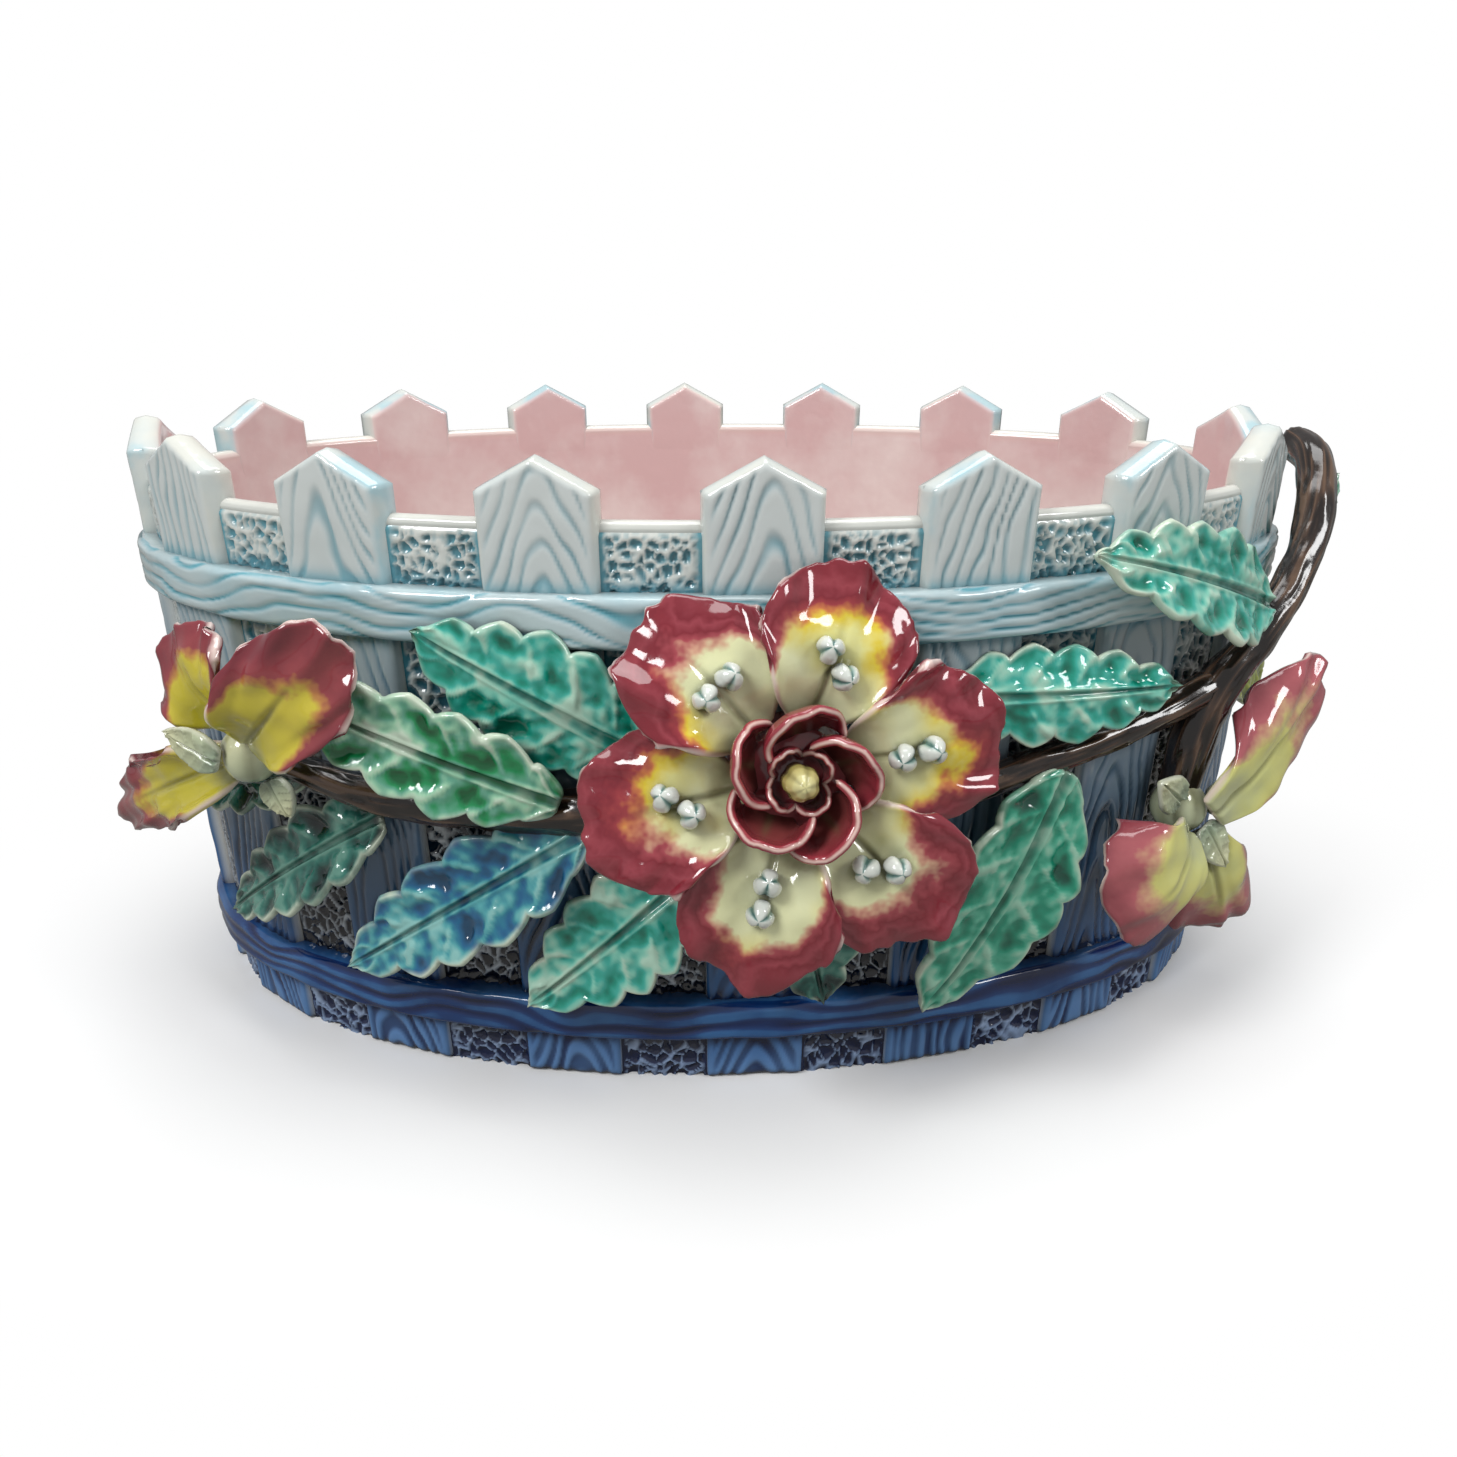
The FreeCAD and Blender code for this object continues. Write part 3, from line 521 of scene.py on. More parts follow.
bark_glaze = grooved_glaze("brown_lead_glaze_on_bark", 11 * mm, 4.0, 0.7, -0.35, [
    (0.0, "#604A3A"), (0.16, "#453227"), (0.42, "#33261E"), (0.8, "#1A120F")], gloss=0.14, ripple=0.35)

for number, (node, (radius, stops)) in enumerate(branches.items()):
    line = np.array([spot_on_wall(stop, branch_lift) for stop in stops])
    shares = np.array([[stop[3]] for stop in stops])

    def rod(u, v):
        spots = curve_through(line, v)
        ahead = unit(np.gradient(spots, axis=0))
        out = spots * [1 / rim_length ** 2, 1 / rim_depth ** 2, 0]
        across = unit(np.cross(ahead, out))
        out = np.cross(across, ahead)
        thick = radius * curve_through(shares, v)[..., 0]
        steps = np.linalg.norm(np.diff(spots, axis=0), axis=-1)
        run = np.concatenate([np.zeros((1, u.shape[1])), np.cumsum(steps, axis=0)])
        end = np.minimum(run, run[-1:] - run)
        close = np.sqrt(1 - (1 - np.clip(end / (0.8 * thick), 0, 1)) ** 2)
        angle = 2 * np.pi * u
        ring_x, ring_y = np.cos(angle), np.sin(angle)
        seed = 11.0 * number
        long_grain = mottle(2.6 * ring_x + seed, 2.6 * ring_y, run / (26 * mm))
        fine_grain = mottle(6 * ring_x + seed, 6 * ring_y, run / (17 * mm))
        knots = mottle(0.9 * ring_x + seed, 0.9 * ring_y, run / (13 * mm))
        ridge = 1 - np.abs(0.65 * long_grain + 0.5 * fine_grain) * 2
        carve = np.clip(smooth(0.35, 0.95, ridge), 0, 1)
        grow = thick * close * (1 + 0.10 * knots) + bark_depth * close * (0.35 - carve)
        points = spots + across * (grow * ring_x)[..., None] + out * (grow * ring_y)[..., None]
        return points, {"carve": carve}

    length = np.linalg.norm(np.diff(line, axis=0), axis=1).sum()
    model(node.title(), 40, round(length / (1.0 * mm)), rod, bark_glaze, node)

# ---- Leaves --------------------------------------------------------------------------------
# Leaves pressed from thin clay with a plaster mould, so that veins and puckers stand out, their teeth
# cut and bent by hand, then luted to the wall and branches. Green glazes run into the hollows.
leaf_lift = 12 * mm
leaf_width = 36 * mm
leaf_stalk = 6 * mm
leaf_thickness = 3 * mm
leaf_lip = 1.2 * mm
leaf_bow = 7 * mm
leaf_fold = 7 * mm
leaf_pucker = 1.3 * mm
tooth_depth = 3.8 * mm
tooth_count = 5
leaf_margin = 6 * mm
# Root and tip of each leaf (share of half the girth, of the rim height, lift), width, bow, fold, roll, glaze.
leaves = {
    "leaf_left_upper": ((-0.045, 0.640, 0.60), (-0.168, 0.840, 0.90), 1.10, 0.3, -0.4, 0.00, "aqua"),
    "leaf_left_middle": ((-0.090, 0.572, 1.10), (-0.243, 0.745, 1.75), 0.86, 0.7, 0.5, 0.02, "pale"),
    "leaf_left_end": ((-0.205, 0.505, 0.70), (-0.345, 0.240, 0.90), 0.80, 0.7, 0.7, 0.06, "deep"),
    "leaf_left_low": ((-0.080, 0.510, 0.80), (-0.238, 0.215, 1.10), 0.92, 0.8, 0.8, 0.04, "cobalt"),
    "leaf_left_foot": ((-0.012, 0.440, 0.15), (-0.118, 0.195, 1.20), 1.00, 0.6, 0.5, 0.02, "aqua"),
    "leaf_under_blossom": ((0.033, 0.531, 0.81), (0.060, 0.190, 0.90), 1.00, 0.4, 0.3, 0.00, "deep"),
    "leaf_left_back": ((-0.256, 0.562, 0.80), (-0.425, 0.440, 1.00), 0.60, 0.5, 0.4, 0.02, "deep"),
    "leaf_right_middle": ((0.128, 0.712, 0.15), (0.270, 0.706, 1.20), 0.84, 0.9, -0.6, -0.03, "aqua"),
    "leaf_right_low": ((0.207, 0.575, 0.70), (0.120, 0.165, 1.10), 1.25, 0.8, 0.6, -0.02, "green"),
    "leaf_right_rim": ((0.355, 0.800, 1.10), (0.190, 0.950, 1.30), 0.95, 0.8, 0.8, 0.06, "aqua"),
    "leaf_right_back": ((0.425, 0.770, 0.80), (0.440, 1.000, 1.50), 0.80, 0.5, 0.5, 0.00, "green"),
    "leaf_right_side": ((0.400, 0.610, 0.15), (0.500, 0.670, 1.20), 0.85, 0.5, 0.4, 0.00, "moss"),
}


def stand(origin, ahead, face, roll=0.0):
    """Place of a blade: x ahead, z as near as can be to the face, rolled about x by a share of a turn."""
    x = unit(ahead)
    y = unit(np.cross(face, x))
    z = np.cross(x, y)
    turn = 2 * np.pi * roll
    y, z = y * np.cos(turn) + z * np.sin(turn), z * np.cos(turn) - y * np.sin(turn)
    return origin, np.stack([x, y, z])


def leaf_sheet(place, length, width, bow, fold, teeth, seed):
    """Front of a leaf: a pointed oval with lobes, each pressed hollow, and a midrib between two welts."""
    lobes = tooth_count + 0.8

    def sheet(out, side):
        body = np.sin(np.pi * out ** 0.85) ** 0.75
        edge = leaf_stalk / 2 * (1 - out) + (width - leaf_stalk) / 2 * body
        shift = 0.30 * mottle(2.2 * out, seed, 3.0 * np.sign(side)) - 0.55
        lobe = np.abs(((out * lobes + shift) % 1) ** 1.2 * 2 - 1)
        scallop = 0.65 * np.sqrt(1.02 - lobe ** 2) + 0.45 * (1 - lobe) - 0.5
        edge = edge + teeth * scallop * smooth(0.06, 0.14, out) * smooth(1.0, 0.9, out)
        edge = edge * np.sqrt(np.clip((1 - out) / 0.02, 0, 1))
        x = length * out
        uneven = 0.4 * (1 - out) * out * mottle(out * 3, seed, np.sign(side) * 2.0)
        y = -side * edge * (1 + uneven)
        u = (x + leaf_margin) / (length + 2 * leaf_margin)
        s = y / (width / 2 + leaf_margin)
        height = bow * np.sin(np.pi * u) + leaf_pucker * np.cos(6 * np.pi * u) * s ** 2
        height = height + fold * np.abs(s) ** 1.3 * np.sin(np.pi * u)
        local = np.stack([x, y, height], axis=-1)
        reach = np.abs(side)
        lobe = np.abs((((out + 0.13 * (1 - reach)) * lobes + shift) % 1) ** 1.2 * 2 - 1)
        uneven = np.clip(0.55 + 0.9 * mottle(x / (15 * mm), y / (15 * mm), seed + 8), 0, 1)
        hollow = np.exp(-(lobe / 0.62) ** 2 - ((reach - 0.62) / 0.26) ** 2) * uneven * (teeth > 0)
        ridge = smooth(0.80, 1.0, lobe) * smooth(0.10, 0.4, reach) * smooth(1.0, 0.8, reach)
        spine = 0.045 * width * (1.15 - 0.8 * out)
        rib = np.exp(-(y / spine) ** 4) * smooth(1.0, 0.9, out)
        welt = np.exp(-((np.abs(y) - 1.3 * spine) / (0.7 * mm)) ** 2) * smooth(0.95, 0.8, out)
        lump = mottle(x / (7 * mm), y / (7 * mm), seed)
        fine = mottle(x / (3 * mm), y / (3 * mm), seed + 4)
        puff = smooth(0.05, 0.35, reach) * (1 - reach ** 4)
        relief = ((1.3 * lump + 0.7 * fine) * puff - 1.6 * hollow + 0.6 * ridge - 0.8 * rib + 0.6 * welt) * mm
        carve = np.clip(0.30 + 0.65 * hollow - 0.45 * lump - 0.35 * fine - 0.3 * (ridge + welt), 0, 1)
        origin, axes = place
        return origin + local @ axes, relief, {"carve": carve, "rib": rib, "out": out}
    return sheet


leaf_tones = {
    "aqua": [(0.10, "#A9CDB9"), (0.30, "#7CC2AE"), (0.48, "#3AA596"), (0.68, "#0E8B76"), (0.92, "#046450")],
    "pale": [(0.12, "#B9CDB8"), (0.34, "#8FC0A0"), (0.52, "#5C9C84"), (0.72, "#17844E"), (0.94, "#06552E")],
    "deep": [(0.12, "#5C8C7E"), (0.32, "#2F6F63"), (0.52, "#17524A"), (0.72, "#0B3530"), (0.92, "#061D1E")],
    "cobalt": [(0.12, "#86BDB9"), (0.32, "#4F9FA4"), (0.48, "#27788F"), (0.64, "#165C86"), (0.88, "#0D3C5A")],
    "green": [(0.12, "#93C4AC"), (0.32, "#54AE92"), (0.50, "#1D8F72"), (0.72, "#087258"), (0.94, "#044C3C")],
    "moss": [(0.12, "#B4BC62"), (0.36, "#9AA548"), (0.56, "#7E8B34"), (0.76, "#4F5C22"), (0.92, "#2A3214")],
}
leaf_glazes = {}
for tone, stops in leaf_tones.items():
    leaf_glaze, tree, place = new_glaze(tone + "_green_lead_glaze")
    cloud = add(tree, "TexNoise", take="Fac", Vector=place, Scale=1 / (17 * mm), Detail=3.0, Distortion=0.6)
    carve, rib, rim = [add(tree, "Attribute", take="Fac", attribute_name=mark)
                       for mark in ("carve", "rib", "rim")]
    depth = add(tree, "Math", operation="MULTIPLY_ADD", Value=carve, Value_001=0.9, Value_002=-0.52)
    depth = add(tree, "Math", operation="MULTIPLY_ADD", Value=cloud, Value_001=1.3, Value_002=depth)
    body = add(tree, "ValToRGB", Fac=depth, stops=stops)
    rib = add(tree, "Math", operation="MULTIPLY", Value=rib, Value_001=cloud)
    bare = add(tree, "MapRange", Value=rim, From_Min=0.10, From_Max=0.55, To_Max=0.9)
    worn = add(tree, "MapRange", Value=cloud, From_Min=0.58, From_Max=0.42, To_Min=0.25)
    bare = add(tree, "Math", operation="MULTIPLY", Value=bare, Value_001=worn)
    for share, colour in ((rib, "#14241E"), (bare, "#CBD6C2")):
        body = add(tree, "Mix", take="Result_Color", data_type="RGBA",
                   Factor_Float=share, A_Color=body, B_Color=colour)
    fire(tree, place, body, gloss=0.09, ripple=0.45)
    leaf_glazes[tone] = leaf_glaze

for number, (node, (root, tip, width, bow, fold, roll, tone)) in enumerate(leaves.items()):
    start = spot_on_wall(root, leaf_lift)
    ahead = spot_on_wall(tip, leaf_lift) - start
    place = stand(start, ahead, wall_out((root[0] + tip[0]) / 2), roll)
    sheet = leaf_sheet(place, np.linalg.norm(ahead), leaf_width * width, leaf_bow * bow, leaf_fold * fold,
                       tooth_depth, 3.7 * number)
    model(node.title(), 60, 200, pressed(sheet, leaf_thickness, leaf_lip), leaf_glazes[tone], node)

# ---- Big blossom ---------------------------------------------------------------------------
# The main flower, built up by hand on a clay plug: six spreading petals that overlap like a pinwheel, a
# cupped ring, small curls and a cone. Crimson is brushed over the rims and runs into yellow and cream.
blossom_along = 0.033
blossom_height = 0.650 * rim_height
blossom_lift = 27 * mm
blossom_lean = math.radians(15)
receptacle_top = 14 * mm
receptacle_foot = 20 * mm
petal_count = 6
petal_turns = (0.036, 0.203, 0.367, 0.534, 0.708, 0.872)
petal_sizes = {"length": 46 * mm, "width": 45 * mm, "root": 14 * mm, "cup": 7 * mm, "bow": 6 * mm,
               "curl": 1 * mm, "ruffle": 1.3 * mm, "waves": 3}
ring_sizes = {"length": 19 * mm, "width": 20 * mm, "root": 12 * mm, "cup": 6 * mm, "bow": -3 * mm,
              "curl": 0.0, "ruffle": 0.65 * mm, "waves": 1}
curl_sizes = {"length": 12 * mm, "width": 8 * mm, "root": 4 * mm, "cup": 2.6 * mm, "bow": -1.3 * mm,
              "curl": 0.0, "ruffle": 0.0, "waves": 1}
petal_thickness = 3 * mm
petal_lip = 1.4 * mm
petal_roll = 9
ring_count = 5
ring_radius = 9.5 * mm
ring_spread = 64
ring_roll = 21
ring_thickness = 2.4 * mm
ring_lip = 1.1 * mm
curl_count = 4
curl_radius = 5.5 * mm
curl_spread = 78
curl_thickness = 1.8 * mm
curl_lip = 0.9 * mm
luting_gap = 0.3 * mm
petal_drop = 5.5 * mm
petal_seat = 3 * mm

facing = wall_out(np.array(blossom_along))
blossom_centre = on_wall(np.array(blossom_along), np.array(blossom_height), np.array(blossom_lift))
blossom_axis = facing * math.cos(blossom_lean) + np.array([0, 0, math.sin(blossom_lean)])
blossom_place = stand(blossom_centre, np.cross([0, 0, 1], facing), blossom_axis)
blossom = Matrix.Translation(blossom_centre) @ Matrix(blossom_place[1].T.tolist()).to_4x4()


def blossom_spot(degrees, radius, height, spread, roll):
    """Place of a blade round the axis, out by a radius, tipped up and rolled, in degrees."""
    spot = blossom @ Matrix.Rotation(math.radians(degrees), 4, "Z") @ Matrix.Translation((radius, 0, height))
    spot = spot @ Matrix.Rotation(-math.radians(spread), 4, "Y") @ Matrix.Rotation(math.radians(roll), 4, "X")
    return np.array(spot.translation), np.array(spot.to_3x3().transposed())


def petal_sheet(place, sizes, seed, tear=0.9 * mm, pleat=0.5 * mm):
    """Front of a petal: spokes from its root to a round rim, cupped, with hand-pinched waves at the rim."""
    def sheet(out, side):
        s = -side
        turn = math.radians(106) * s
        ragged = tear * (mottle(3.1 * s, seed, 0) + 0.8 * mottle(11 * s, seed, 5))
        rim_ahead = sizes["length"] * (1 - 0.46 * (1 - np.cos(turn))) + ragged * out ** 5
        rim_across = sizes["width"] / 2 * np.sin(turn)
        root_across = sizes["root"] / 2 * s
        wave = sizes["ruffle"] * out ** 4 * np.sin(np.pi * sizes["waves"] * s + sizes["phase"])
        height = sizes["cup"] * s ** 2 * out + sizes["bow"] * np.sin(np.pi * out) + sizes["curl"] * out ** 2
        pinch = pleat * out ** 3 * np.cos(np.pi * 4.5 * s + 3 * mottle(2 * s, seed, 2))
        local = np.stack([(rim_ahead + wave) * out, root_across + (rim_across - root_across) * out,
                          height + wave + pinch], axis=-1)
        lump = mottle(local[..., 0] / (9 * mm), local[..., 1] / (9 * mm), seed)
        crease = np.exp(-(local[..., 1] / (1.1 * mm)) ** 2) * smooth(0.8, 0.3, out)
        relief = pleat * (1.1 * lump - 0.9 * crease)
        origin, axes = place
        return origin + local @ axes, relief, {"out": out, "side": side, "carve": crease}
    return sheet


def turned(place, profile, lobes=0, groove=0.0):
    """Place function of a small round piece from (radius, height) stops, grooved into lobes."""
    def round_piece(u, v):
        stops = np.linspace(0, 1, len(profile))
        radius = np.interp(v, stops, [spot[0] for spot in profile])
        height = np.interp(v, stops, [spot[1] for spot in profile])
        angle = 2 * np.pi * u
        cut = np.abs(np.cos(lobes * angle / 2)) ** 6 if lobes else 0 * u
        radius = radius * (1 - groove * cut)
        local = np.stack([radius * np.cos(angle), radius * np.sin(angle), height], axis=-1)
        origin, axes = place
        return origin + local @ axes, {"carve": cut, "out": v}
    return round_piece


def petal_glaze(name, stops, lip="#E6D2CA", wash=None, bare_from=0.50):
    """Petal colours from root to rim, pushed about like wet brushwork, with a pale worn lip."""
    material, tree, place = new_glaze(name)
    cloud = add(tree, "TexNoise", take="Fac", Vector=place, Scale=1 / (22 * mm), Detail=4.0, Roughness=0.6)
    out, side, carve, rim = [add(tree, "Attribute", take="Fac", attribute_name=mark)
                             for mark in ("out", "side", "carve", "rim")]
    side = add(tree, "Math", operation="MULTIPLY", Value=side, Value_001=side)
    push = add(tree, "Math", operation="MULTIPLY_ADD", Value=side, Value_001=0.12, Value_002=out)
    push = add(tree, "Math", operation="MULTIPLY_ADD", Value=cloud, Value_001=0.85, Value_002=push)
    push = add(tree, "Math", operation="ADD", Value=push, Value_001=-0.46)
    body = add(tree, "ValToRGB", Fac=push, stops=stops)
    layers = []
    if wash:
        patch = add(tree, "TexNoise", take="Fac", Vector=place, Scale=1 / (34 * mm), Detail=2.0)
        patch = add(tree, "MapRange", Value=patch, From_Min=0.46, From_Max=0.58)
        warm = add(tree, "ValToRGB", Fac=push, stops=wash)
        layers.append((patch, warm))
    stain = add(tree, "Math", operation="MULTIPLY", Value=carve, Value_001=0.45)
    bare = add(tree, "MapRange", Value=rim, From_Min=bare_from, From_Max=0.95, To_Max=0.85)
    for share, colour in layers + [(stain, "#6E6B4A"), (bare, lip)]:
        body = add(tree, "Mix", take="Result_Color", data_type="RGBA",
                   Factor_Float=share, A_Color=body, B_Color=colour)
    fire(tree, place, body, gloss=0.08, ripple=0.2)
    return material


crimson_glaze = petal_glaze("crimson_and_yellow_lead_glaze", [
    (0.05, "#B6B98F"), (0.22, "#D4D8B0"), (0.58, "#DADBAC"), (0.64, "#C89A80"), (0.70, "#9C4049"),
    (0.77, "#771C29"), (0.85, "#8C3540"), (0.91, "#731A27"), (1.0, "#84303B")],
    wash=[(0.05, "#B6B98F"), (0.22, "#D4D8AA"), (0.46, "#DAD68C"), (0.60, "#D6BF36"), (0.66, "#C0743E"),
          (0.72, "#8F3036"), (0.80, "#741B28"), (0.88, "#8A343E"), (0.98, "#761D29")])
heart_glaze = petal_glaze("oxblood_lead_glaze", [(0.05, "#5E342E"), (0.45, "#88403F"), (0.9, "#943640")],
                          lip="#E2C4BA", bare_from=0.74)
cone_glaze = petal_glaze("straw_lead_glaze", [(0.1, "#8C8450"), (0.4, "#C2B568"), (0.8, "#D2CC93")])

plug = [(0, -46 * mm), (receptacle_foot, -46 * mm), (receptacle_foot * 0.95, -40 * mm),
        (receptacle_top, -11.5 * mm), (receptacle_top, -2 * mm), (receptacle_top / 2, 0), (0, 2 * mm)]
model("Blossom_Receptacle", 48, 36, turned(blossom_place, plug), heart_glaze,
      "blossom_receptacle")
cone = [(0, -4 * mm), (4.6 * mm, -4 * mm), (4.9 * mm, 3 * mm), (5.0 * mm, 7.5 * mm), (4.5 * mm, 10.8 * mm),
        (3.2 * mm, 13.6 * mm), (1.4 * mm, 15.2 * mm), (0, 15.6 * mm)]
model("Blossom_Cone", 40, 42, turned(blossom_place, cone, 5, 0.10), cone_glaze, "blossom_cone")
for index in range(curl_count):
    place = blossom_spot(360 * (index + 0.4) / curl_count, curl_radius, -petal_seat, curl_spread, 0)
    sheet = petal_sheet(place, dict(curl_sizes, phase=index), 2.0 + index, 0.3 * mm, 0.2 * mm)
    node = "blossom_curl_%d" % (index + 1)
    model(node.title(), 28, 56, pressed(sheet, curl_thickness, curl_lip), heart_glaze, node)
for index in range(ring_count):
    place = blossom_spot(360 * (index + 0.2) / ring_count, ring_radius, -petal_seat, ring_spread, ring_roll)
    sheet = petal_sheet(place, dict(ring_sizes, phase=index), 5.0 + index, 0.5 * mm, 0.3 * mm)
    node = "blossom_ring_petal_%d" % (index + 1)
    model(node.title(), 40, 80, pressed(sheet, ring_thickness, ring_lip), heart_glaze, node)
petal_places = []
for index in range(petal_count):
    place = blossom_spot(360 * petal_turns[index], receptacle_top + luting_gap, -petal_drop, 0, petal_roll)
    petal_places.append(place)
    sheet = petal_sheet(place, dict(petal_sizes, phase=1.7 * index), 9.0 + 2.3 * index, 1.8 * mm, 1.2 * mm)
    node = "blossom_petal_%d" % (index + 1)
    model(node.title(), 70, 130, pressed(sheet, petal_thickness, petal_lip), crimson_glaze, node)

# ---- Stamens -------------------------------------------------------------------------------
# A clump of small buds on each spreading petal: pellets of clay, scored with a knife and luted on with
# slip. White lead glaze, greenish grey where it pools in the cuts.
stamen_bud = 4.1 * mm
stamen_height = 7.5 * mm
stamen_spread = 3.3 * mm
stamen_place = 0.40
stamen_tilt = math.radians(16)
bud_count = 2
stamen_glaze, tree, place = new_glaze("white_lead_glaze")
cloud = add(tree, "TexNoise", take="Fac", Vector=place, Scale=1 / (5 * mm), Detail=2.0)
carve, out = [add(tree, "Attribute", take="Fac", attribute_name=mark) for mark in ("carve", "out")]
low = add(tree, "MapRange", Value=out, From_Min=0.5, From_Max=0.2, To_Max=0.5)
depth = add(tree, "Math", operation="ADD", Value=carve, Value_001=low)
drift = add(tree, "Math", operation="MULTIPLY_ADD", Value=cloud, Value_001=0.6, Value_002=-0.3)
depth = add(tree, "Math", operation="ADD", Value=depth, Value_001=drift)
fire(tree, place, add(tree, "ValToRGB", Fac=depth, stops=[
    (0.15, "#CFD4CD"), (0.50, "#B4C0B9"), (0.80, "#7E9992"), (1.0, "#446A66")]))
bud = [(0, -1.5 * mm), (0.55 * stamen_bud, -1.5 * mm), (0.8 * stamen_bud, 0.6 * mm), (stamen_bud, 2.6 * mm),
       (0.97 * stamen_bud, 4.0 * mm), (0.76 * stamen_bud, 5.8 * mm), (0.42 * stamen_bud, 7.0 * mm),
       (0, stamen_height)]
for index in range(petal_count):
    sheet = petal_sheet(petal_places[index], dict(petal_sizes, phase=1.7 * index), 0.0, 0.0, 0.0)
    foot = sheet(np.array([[stamen_place]]), np.array([[0.0]]))[0][0, 0]
    axes = petal_places[index][1]
    for number in range(bud_count):
        turn = 2 * np.pi * (number + 0.25 * index) / bud_count
        spot = foot + np.array([stamen_spread * np.cos(turn), stamen_spread * np.sin(turn), 0]) @ axes
        lean_axis = Vector((-math.sin(turn), math.cos(turn), 0))
        tilt = np.array(Matrix.Rotation(stamen_tilt, 3, lean_axis).transposed())
        model("Stamen_%d_%d" % (index + 1, number + 1), 32, 24, turned((spot, tilt @ axes), bud, 3, 0.30),
              stamen_glaze, "stamens_%d" % (index + 1))

# ---- Side blooms ---------------------------------------------------------------------------
# A half-open bud at the left and a drooping bloom at the right: cupped petals and short sepals pressed
# round a ball of clay at the end of a branch. Yellow-green at the base, crimson on the rims.
bloom_lift = 20 * mm
calyx_radius = 9 * mm
bloom_width = 38 * mm
bloom_root = 13 * mm
bloom_cup = 10 * mm
bloom_bow = 7 * mm
bloom_ruffle = 1.2 * mm
sepal_width = 15 * mm
sepal_thickness = 2.4 * mm
sepal_lip = 1.1 * mm
calyx_spots = {"left_bud": (-0.268, 0.615, 0.95), "right_bloom": (0.304, 0.455, 0.50)}
bloom_petals = {
    "left_bud_petal_1": ((-0.302, 0.825, 1.00), 0.00, 0.95, 0.8, 0.9, -0.02),
    "left_bud_petal_2": ((-0.188, 0.850, 1.30), 0.45, 0.92, 0.8, 0.9, 0.04),
    "left_bud_petal_3": ((-0.398, 0.415, 1.50), 0.10, 0.62, 0.7, 0.8, 0.00),
    "right_bloom_petal_1": ((0.224, 0.310, 1.30), 0.50, 1.20, -0.8, 1.2, 0.00),
    "right_bloom_petal_2": ((0.345, 0.180, 1.00), 0.30, 1.00, -0.8, 1.0, 0.07),
    "right_bloom_petal_3": ((0.382, 0.690, 1.45), 0.79, 0.90, -0.4, 0.8, -0.03),
}
sepals = {
    "left_bud_sepal_1": ((-0.300, 0.655, 1.60), 0.60),
    "left_bud_sepal_2": ((-0.250, 0.505, 0.90), 0.00),
    "right_bloom_sepal_1": ((0.261, 0.538, 0.88), 0.20),
    "right_bloom_sepal_2": ((0.314, 0.350, 1.28), 0.36),
    "right_bloom_sepal_3": ((0.350, 0.465, 1.00), 0.15),
}
bud_glaze = petal_glaze("yellow_and_crimson_lead_glaze", [
    (0.05, "#A7A66A"), (0.25, "#BDB233"), (0.58, "#CABB3E"), (0.65, "#B88045"),
    (0.72, "#8F3D42"), (0.98, "#762B35")])
bloom_glaze = petal_glaze("straw_and_rose_lead_glaze", [
    (0.05, "#B9BE92"), (0.28, "#C9CB84"), (0.52, "#D0CC78"), (0.62, "#C29A78"),
    (0.72, "#AA5A60"), (0.98, "#8F424B")])
calyx_glaze = petal_glaze("sage_lead_glaze", [(0.1, "#8FA08A"), (0.4, "#B4BE9E"), (0.8, "#C9CBA6")],
                          lip="#D3D6C4")


def calyx_blade(node, tip_shares, rise_share, thickness):
    """Root, tip and face of a blade that springs from its calyx, raised by a share of a right angle."""
    shares = calyx_spots[node.rsplit("_", 2)[0]]
    centre = spot_on_wall(shares, bloom_lift)
    tip = spot_on_wall(tip_shares, bloom_lift)
    face = wall_out(np.array((shares[0] + tip_shares[0]) / 2))
    ahead = unit(tip - centre)
    up = unit(face - ahead * face.dot(ahead))
    rise = math.pi / 2 * rise_share
    reach = calyx_radius + luting_gap + thickness * math.sin(rise)
    return centre + (ahead * math.cos(rise) + up * math.sin(rise)) * reach, tip, face


for name, shares in calyx_spots.items():
    centre = spot_on_wall(shares, bloom_lift)
    turns = np.linspace(0, np.pi, 25)
    ball = [(calyx_radius * math.sin(turn), -calyx_radius * math.cos(turn)) for turn in turns]
    model(name.title() + "_Calyx", 40, 48, turned((centre, np.eye(3)), ball, 5, 0.05), calyx_glaze,
          name + "_calyx")
for number, (node, (tip_shares, rise, width, cup, bow, roll)) in enumerate(bloom_petals.items()):
    root, tip, face = calyx_blade(node, tip_shares, rise, petal_thickness)
    place = stand(root, tip - root, face, roll)
    sizes = {"length": np.linalg.norm(tip - root), "width": bloom_width * width, "root": bloom_root,
             "cup": bloom_cup * cup, "bow": bloom_bow * bow, "curl": 0.0, "ruffle": bloom_ruffle, "waves": 2,
             "phase": 0.0}
    sheet = petal_sheet(place, sizes, 31.0 + 3.1 * number, 1.6 * mm, 1.5 * mm)
    model(node.title(), 64, 120, pressed(sheet, petal_thickness, petal_lip),
          bud_glaze if "left" in node else bloom_glaze, node)
for number, (node, (tip_shares, rise)) in enumerate(sepals.items()):
    root, tip, face = calyx_blade(node, tip_shares, rise, sepal_thickness)
    place = stand(root, tip - root, face)
    sheet = leaf_sheet(place, np.linalg.norm(tip - root), sepal_width, leaf_bow * 0.1, leaf_fold * 0.2, 0.0,
                       50.0 + number)
    model(node.title(), 32, 70, pressed(sheet, sepal_thickness, sepal_lip), calyx_glaze, node)

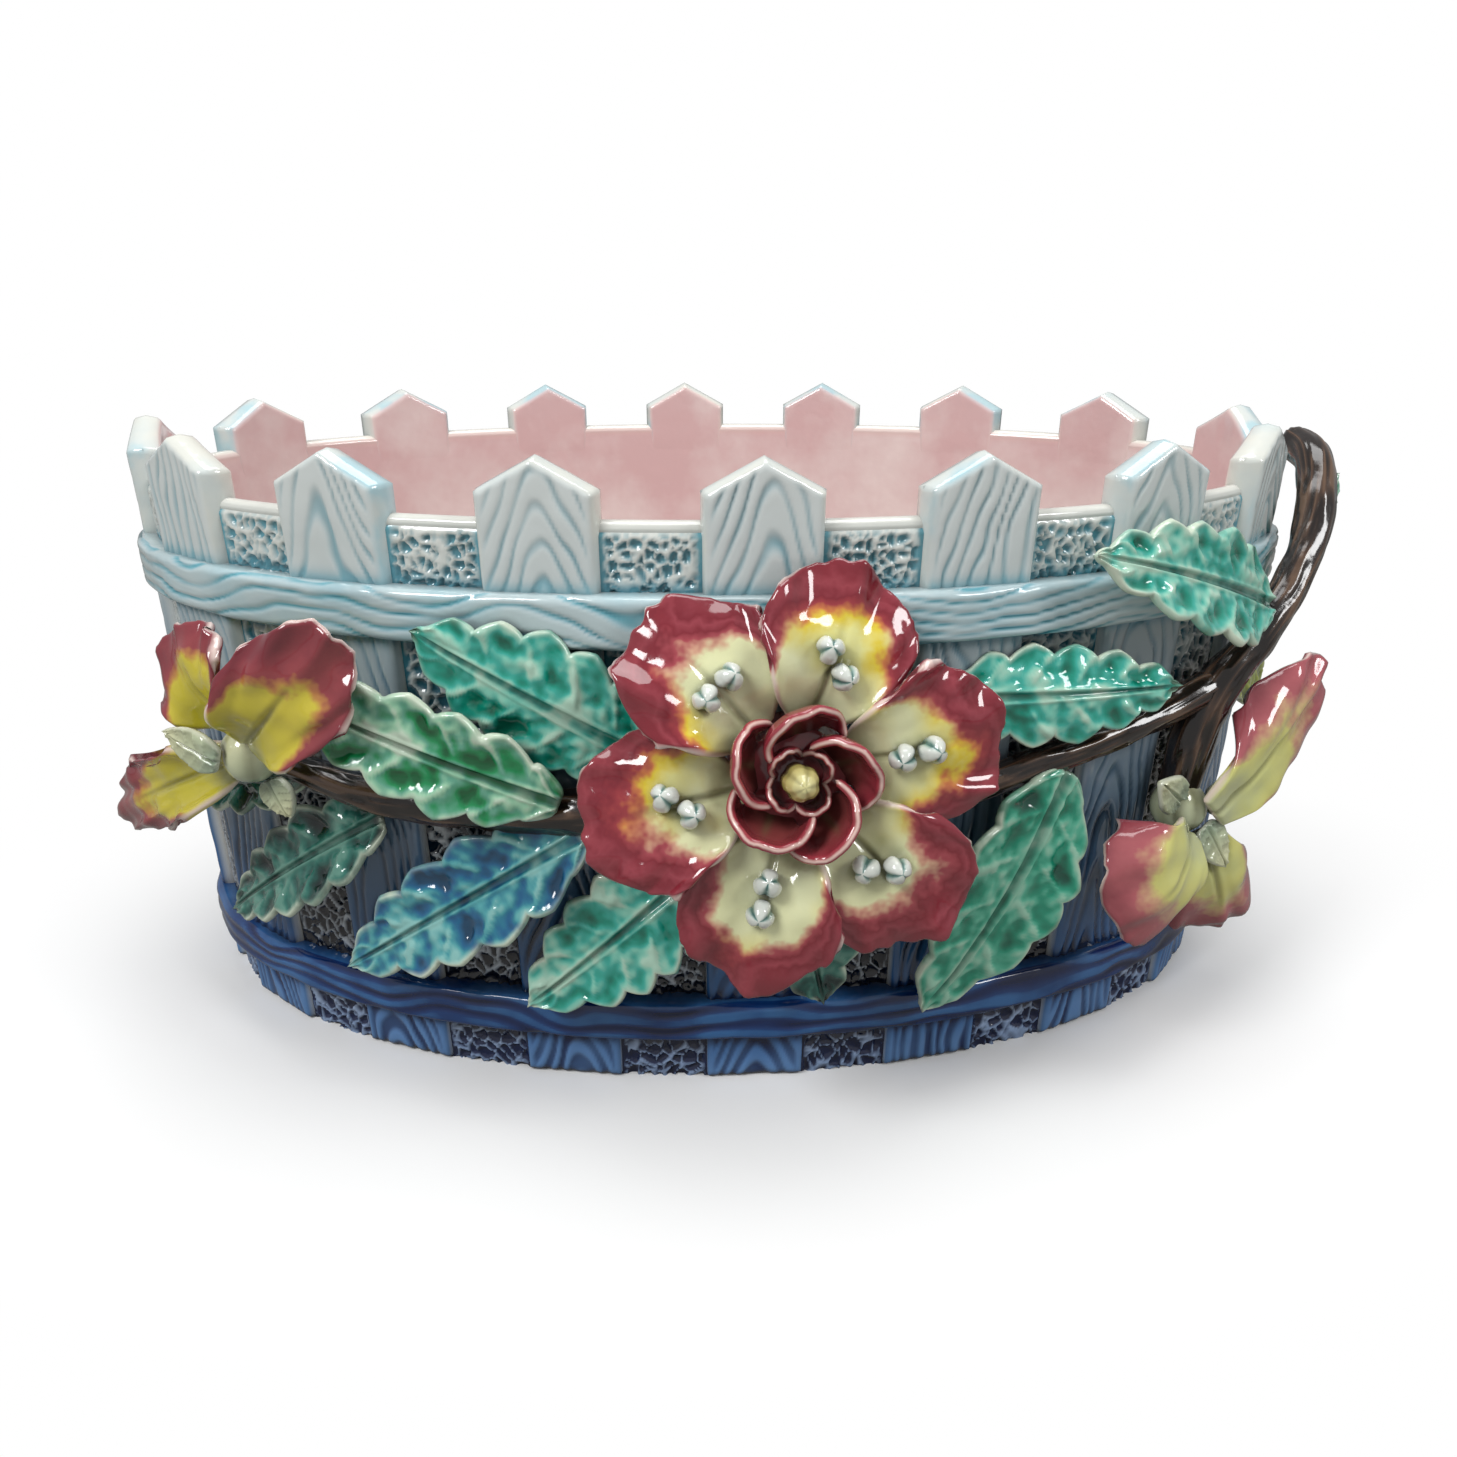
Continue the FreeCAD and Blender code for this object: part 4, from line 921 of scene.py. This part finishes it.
# ---- Floor, light and view -----------------------------------------------------------------
# A pale table under soft daylight from the upper left, seen a little from above as in the photograph.
# None of this belongs to the planter.
bpy.ops.mesh.primitive_plane_add(size=6)
table = bpy.context.object
table.name = "Table_Top"
paper, tree, place = new_glaze("white_paper")
seen = add(tree, "LightPath", take="Is Camera Ray")
white = add(tree, "Mix", take="Result_Color", data_type="RGBA",
            Factor_Float=seen, A_Color="#8A8884", B_Color="#F2F2F2")
shader = add(tree, "BsdfPrincipled", Base_Color=white, Roughness=0.8)
bright = add(tree, "Emission", Color="#FFFFFF", Strength=1.0)
oval = add(tree, "VectorMath", take="Vector", operation="MULTIPLY", Vector=place, Vector_001=(1.0, 1.6, 1.0))
far = add(tree, "VectorMath", take="Value", operation="LENGTH", Vector=oval)
far = add(tree, "MapRange", Value=far, From_Min=0.17, From_Max=0.36, interpolation_type="SMOOTHSTEP")
far = add(tree, "Math", operation="MULTIPLY", Value=far, Value_001=seen)
shader = add(tree, "MixShader", Fac=far, Shader=shader, Shader_001=bright)
tree.links.new(shader, tree.nodes.new("ShaderNodeOutputMaterial").inputs["Surface"])
table.data.materials.append(paper)

world = bpy.data.worlds.new("daylight")
bpy.context.scene.world = world
world.use_nodes = True
tree = world.node_tree
tree.nodes.clear()
ray = add(tree, "LightPath", take="Is Camera Ray")
level = add(tree, "MapRange", Value=ray, To_Min=0.42, To_Max=1.0)
sky = add(tree, "Background", Color="#FFFFFF", Strength=level)
tree.links.new(sky, tree.nodes.new("ShaderNodeOutputWorld").inputs["Surface"])

for name, spot, width, power in (
        ("Window_Left", (-0.9, -0.9, 1.3), 0.6, 17),
        ("Window_Right", (1.1, -0.8, 1.1), 0.45, 8),
        ("Overhead", (0.1, 0.1, 1.6), 0.9, 11)):
    bpy.ops.object.light_add(type="AREA", location=spot)
    lamp = bpy.context.object
    lamp.name = name
    lamp.data.shape = "SQUARE"
    lamp.data.size = width
    lamp.data.energy = power
    lamp.rotation_euler = (Vector((0, 0, 0.08)) - Vector(spot)).to_track_quat("-Z", "Y").to_euler()

view_turn = -0.03397
view_dip = 0.29973
view_spot = Matrix.Rotation(view_turn, 3, "Z") @ Vector((0.003889, -0.43283, 0.24892))
bpy.ops.object.camera_add(location=view_spot, rotation=(math.pi / 2 - view_dip, 0, view_turn))
camera = bpy.context.object
camera.data.sensor_width = 36
camera.data.lens = 29.53
camera.data.shift_x = 0.0023
camera.data.shift_y = -0.0577
camera.data.clip_start = 0.01
bpy.context.scene.camera = camera
bpy.context.scene.view_settings.view_transform = "Standard"
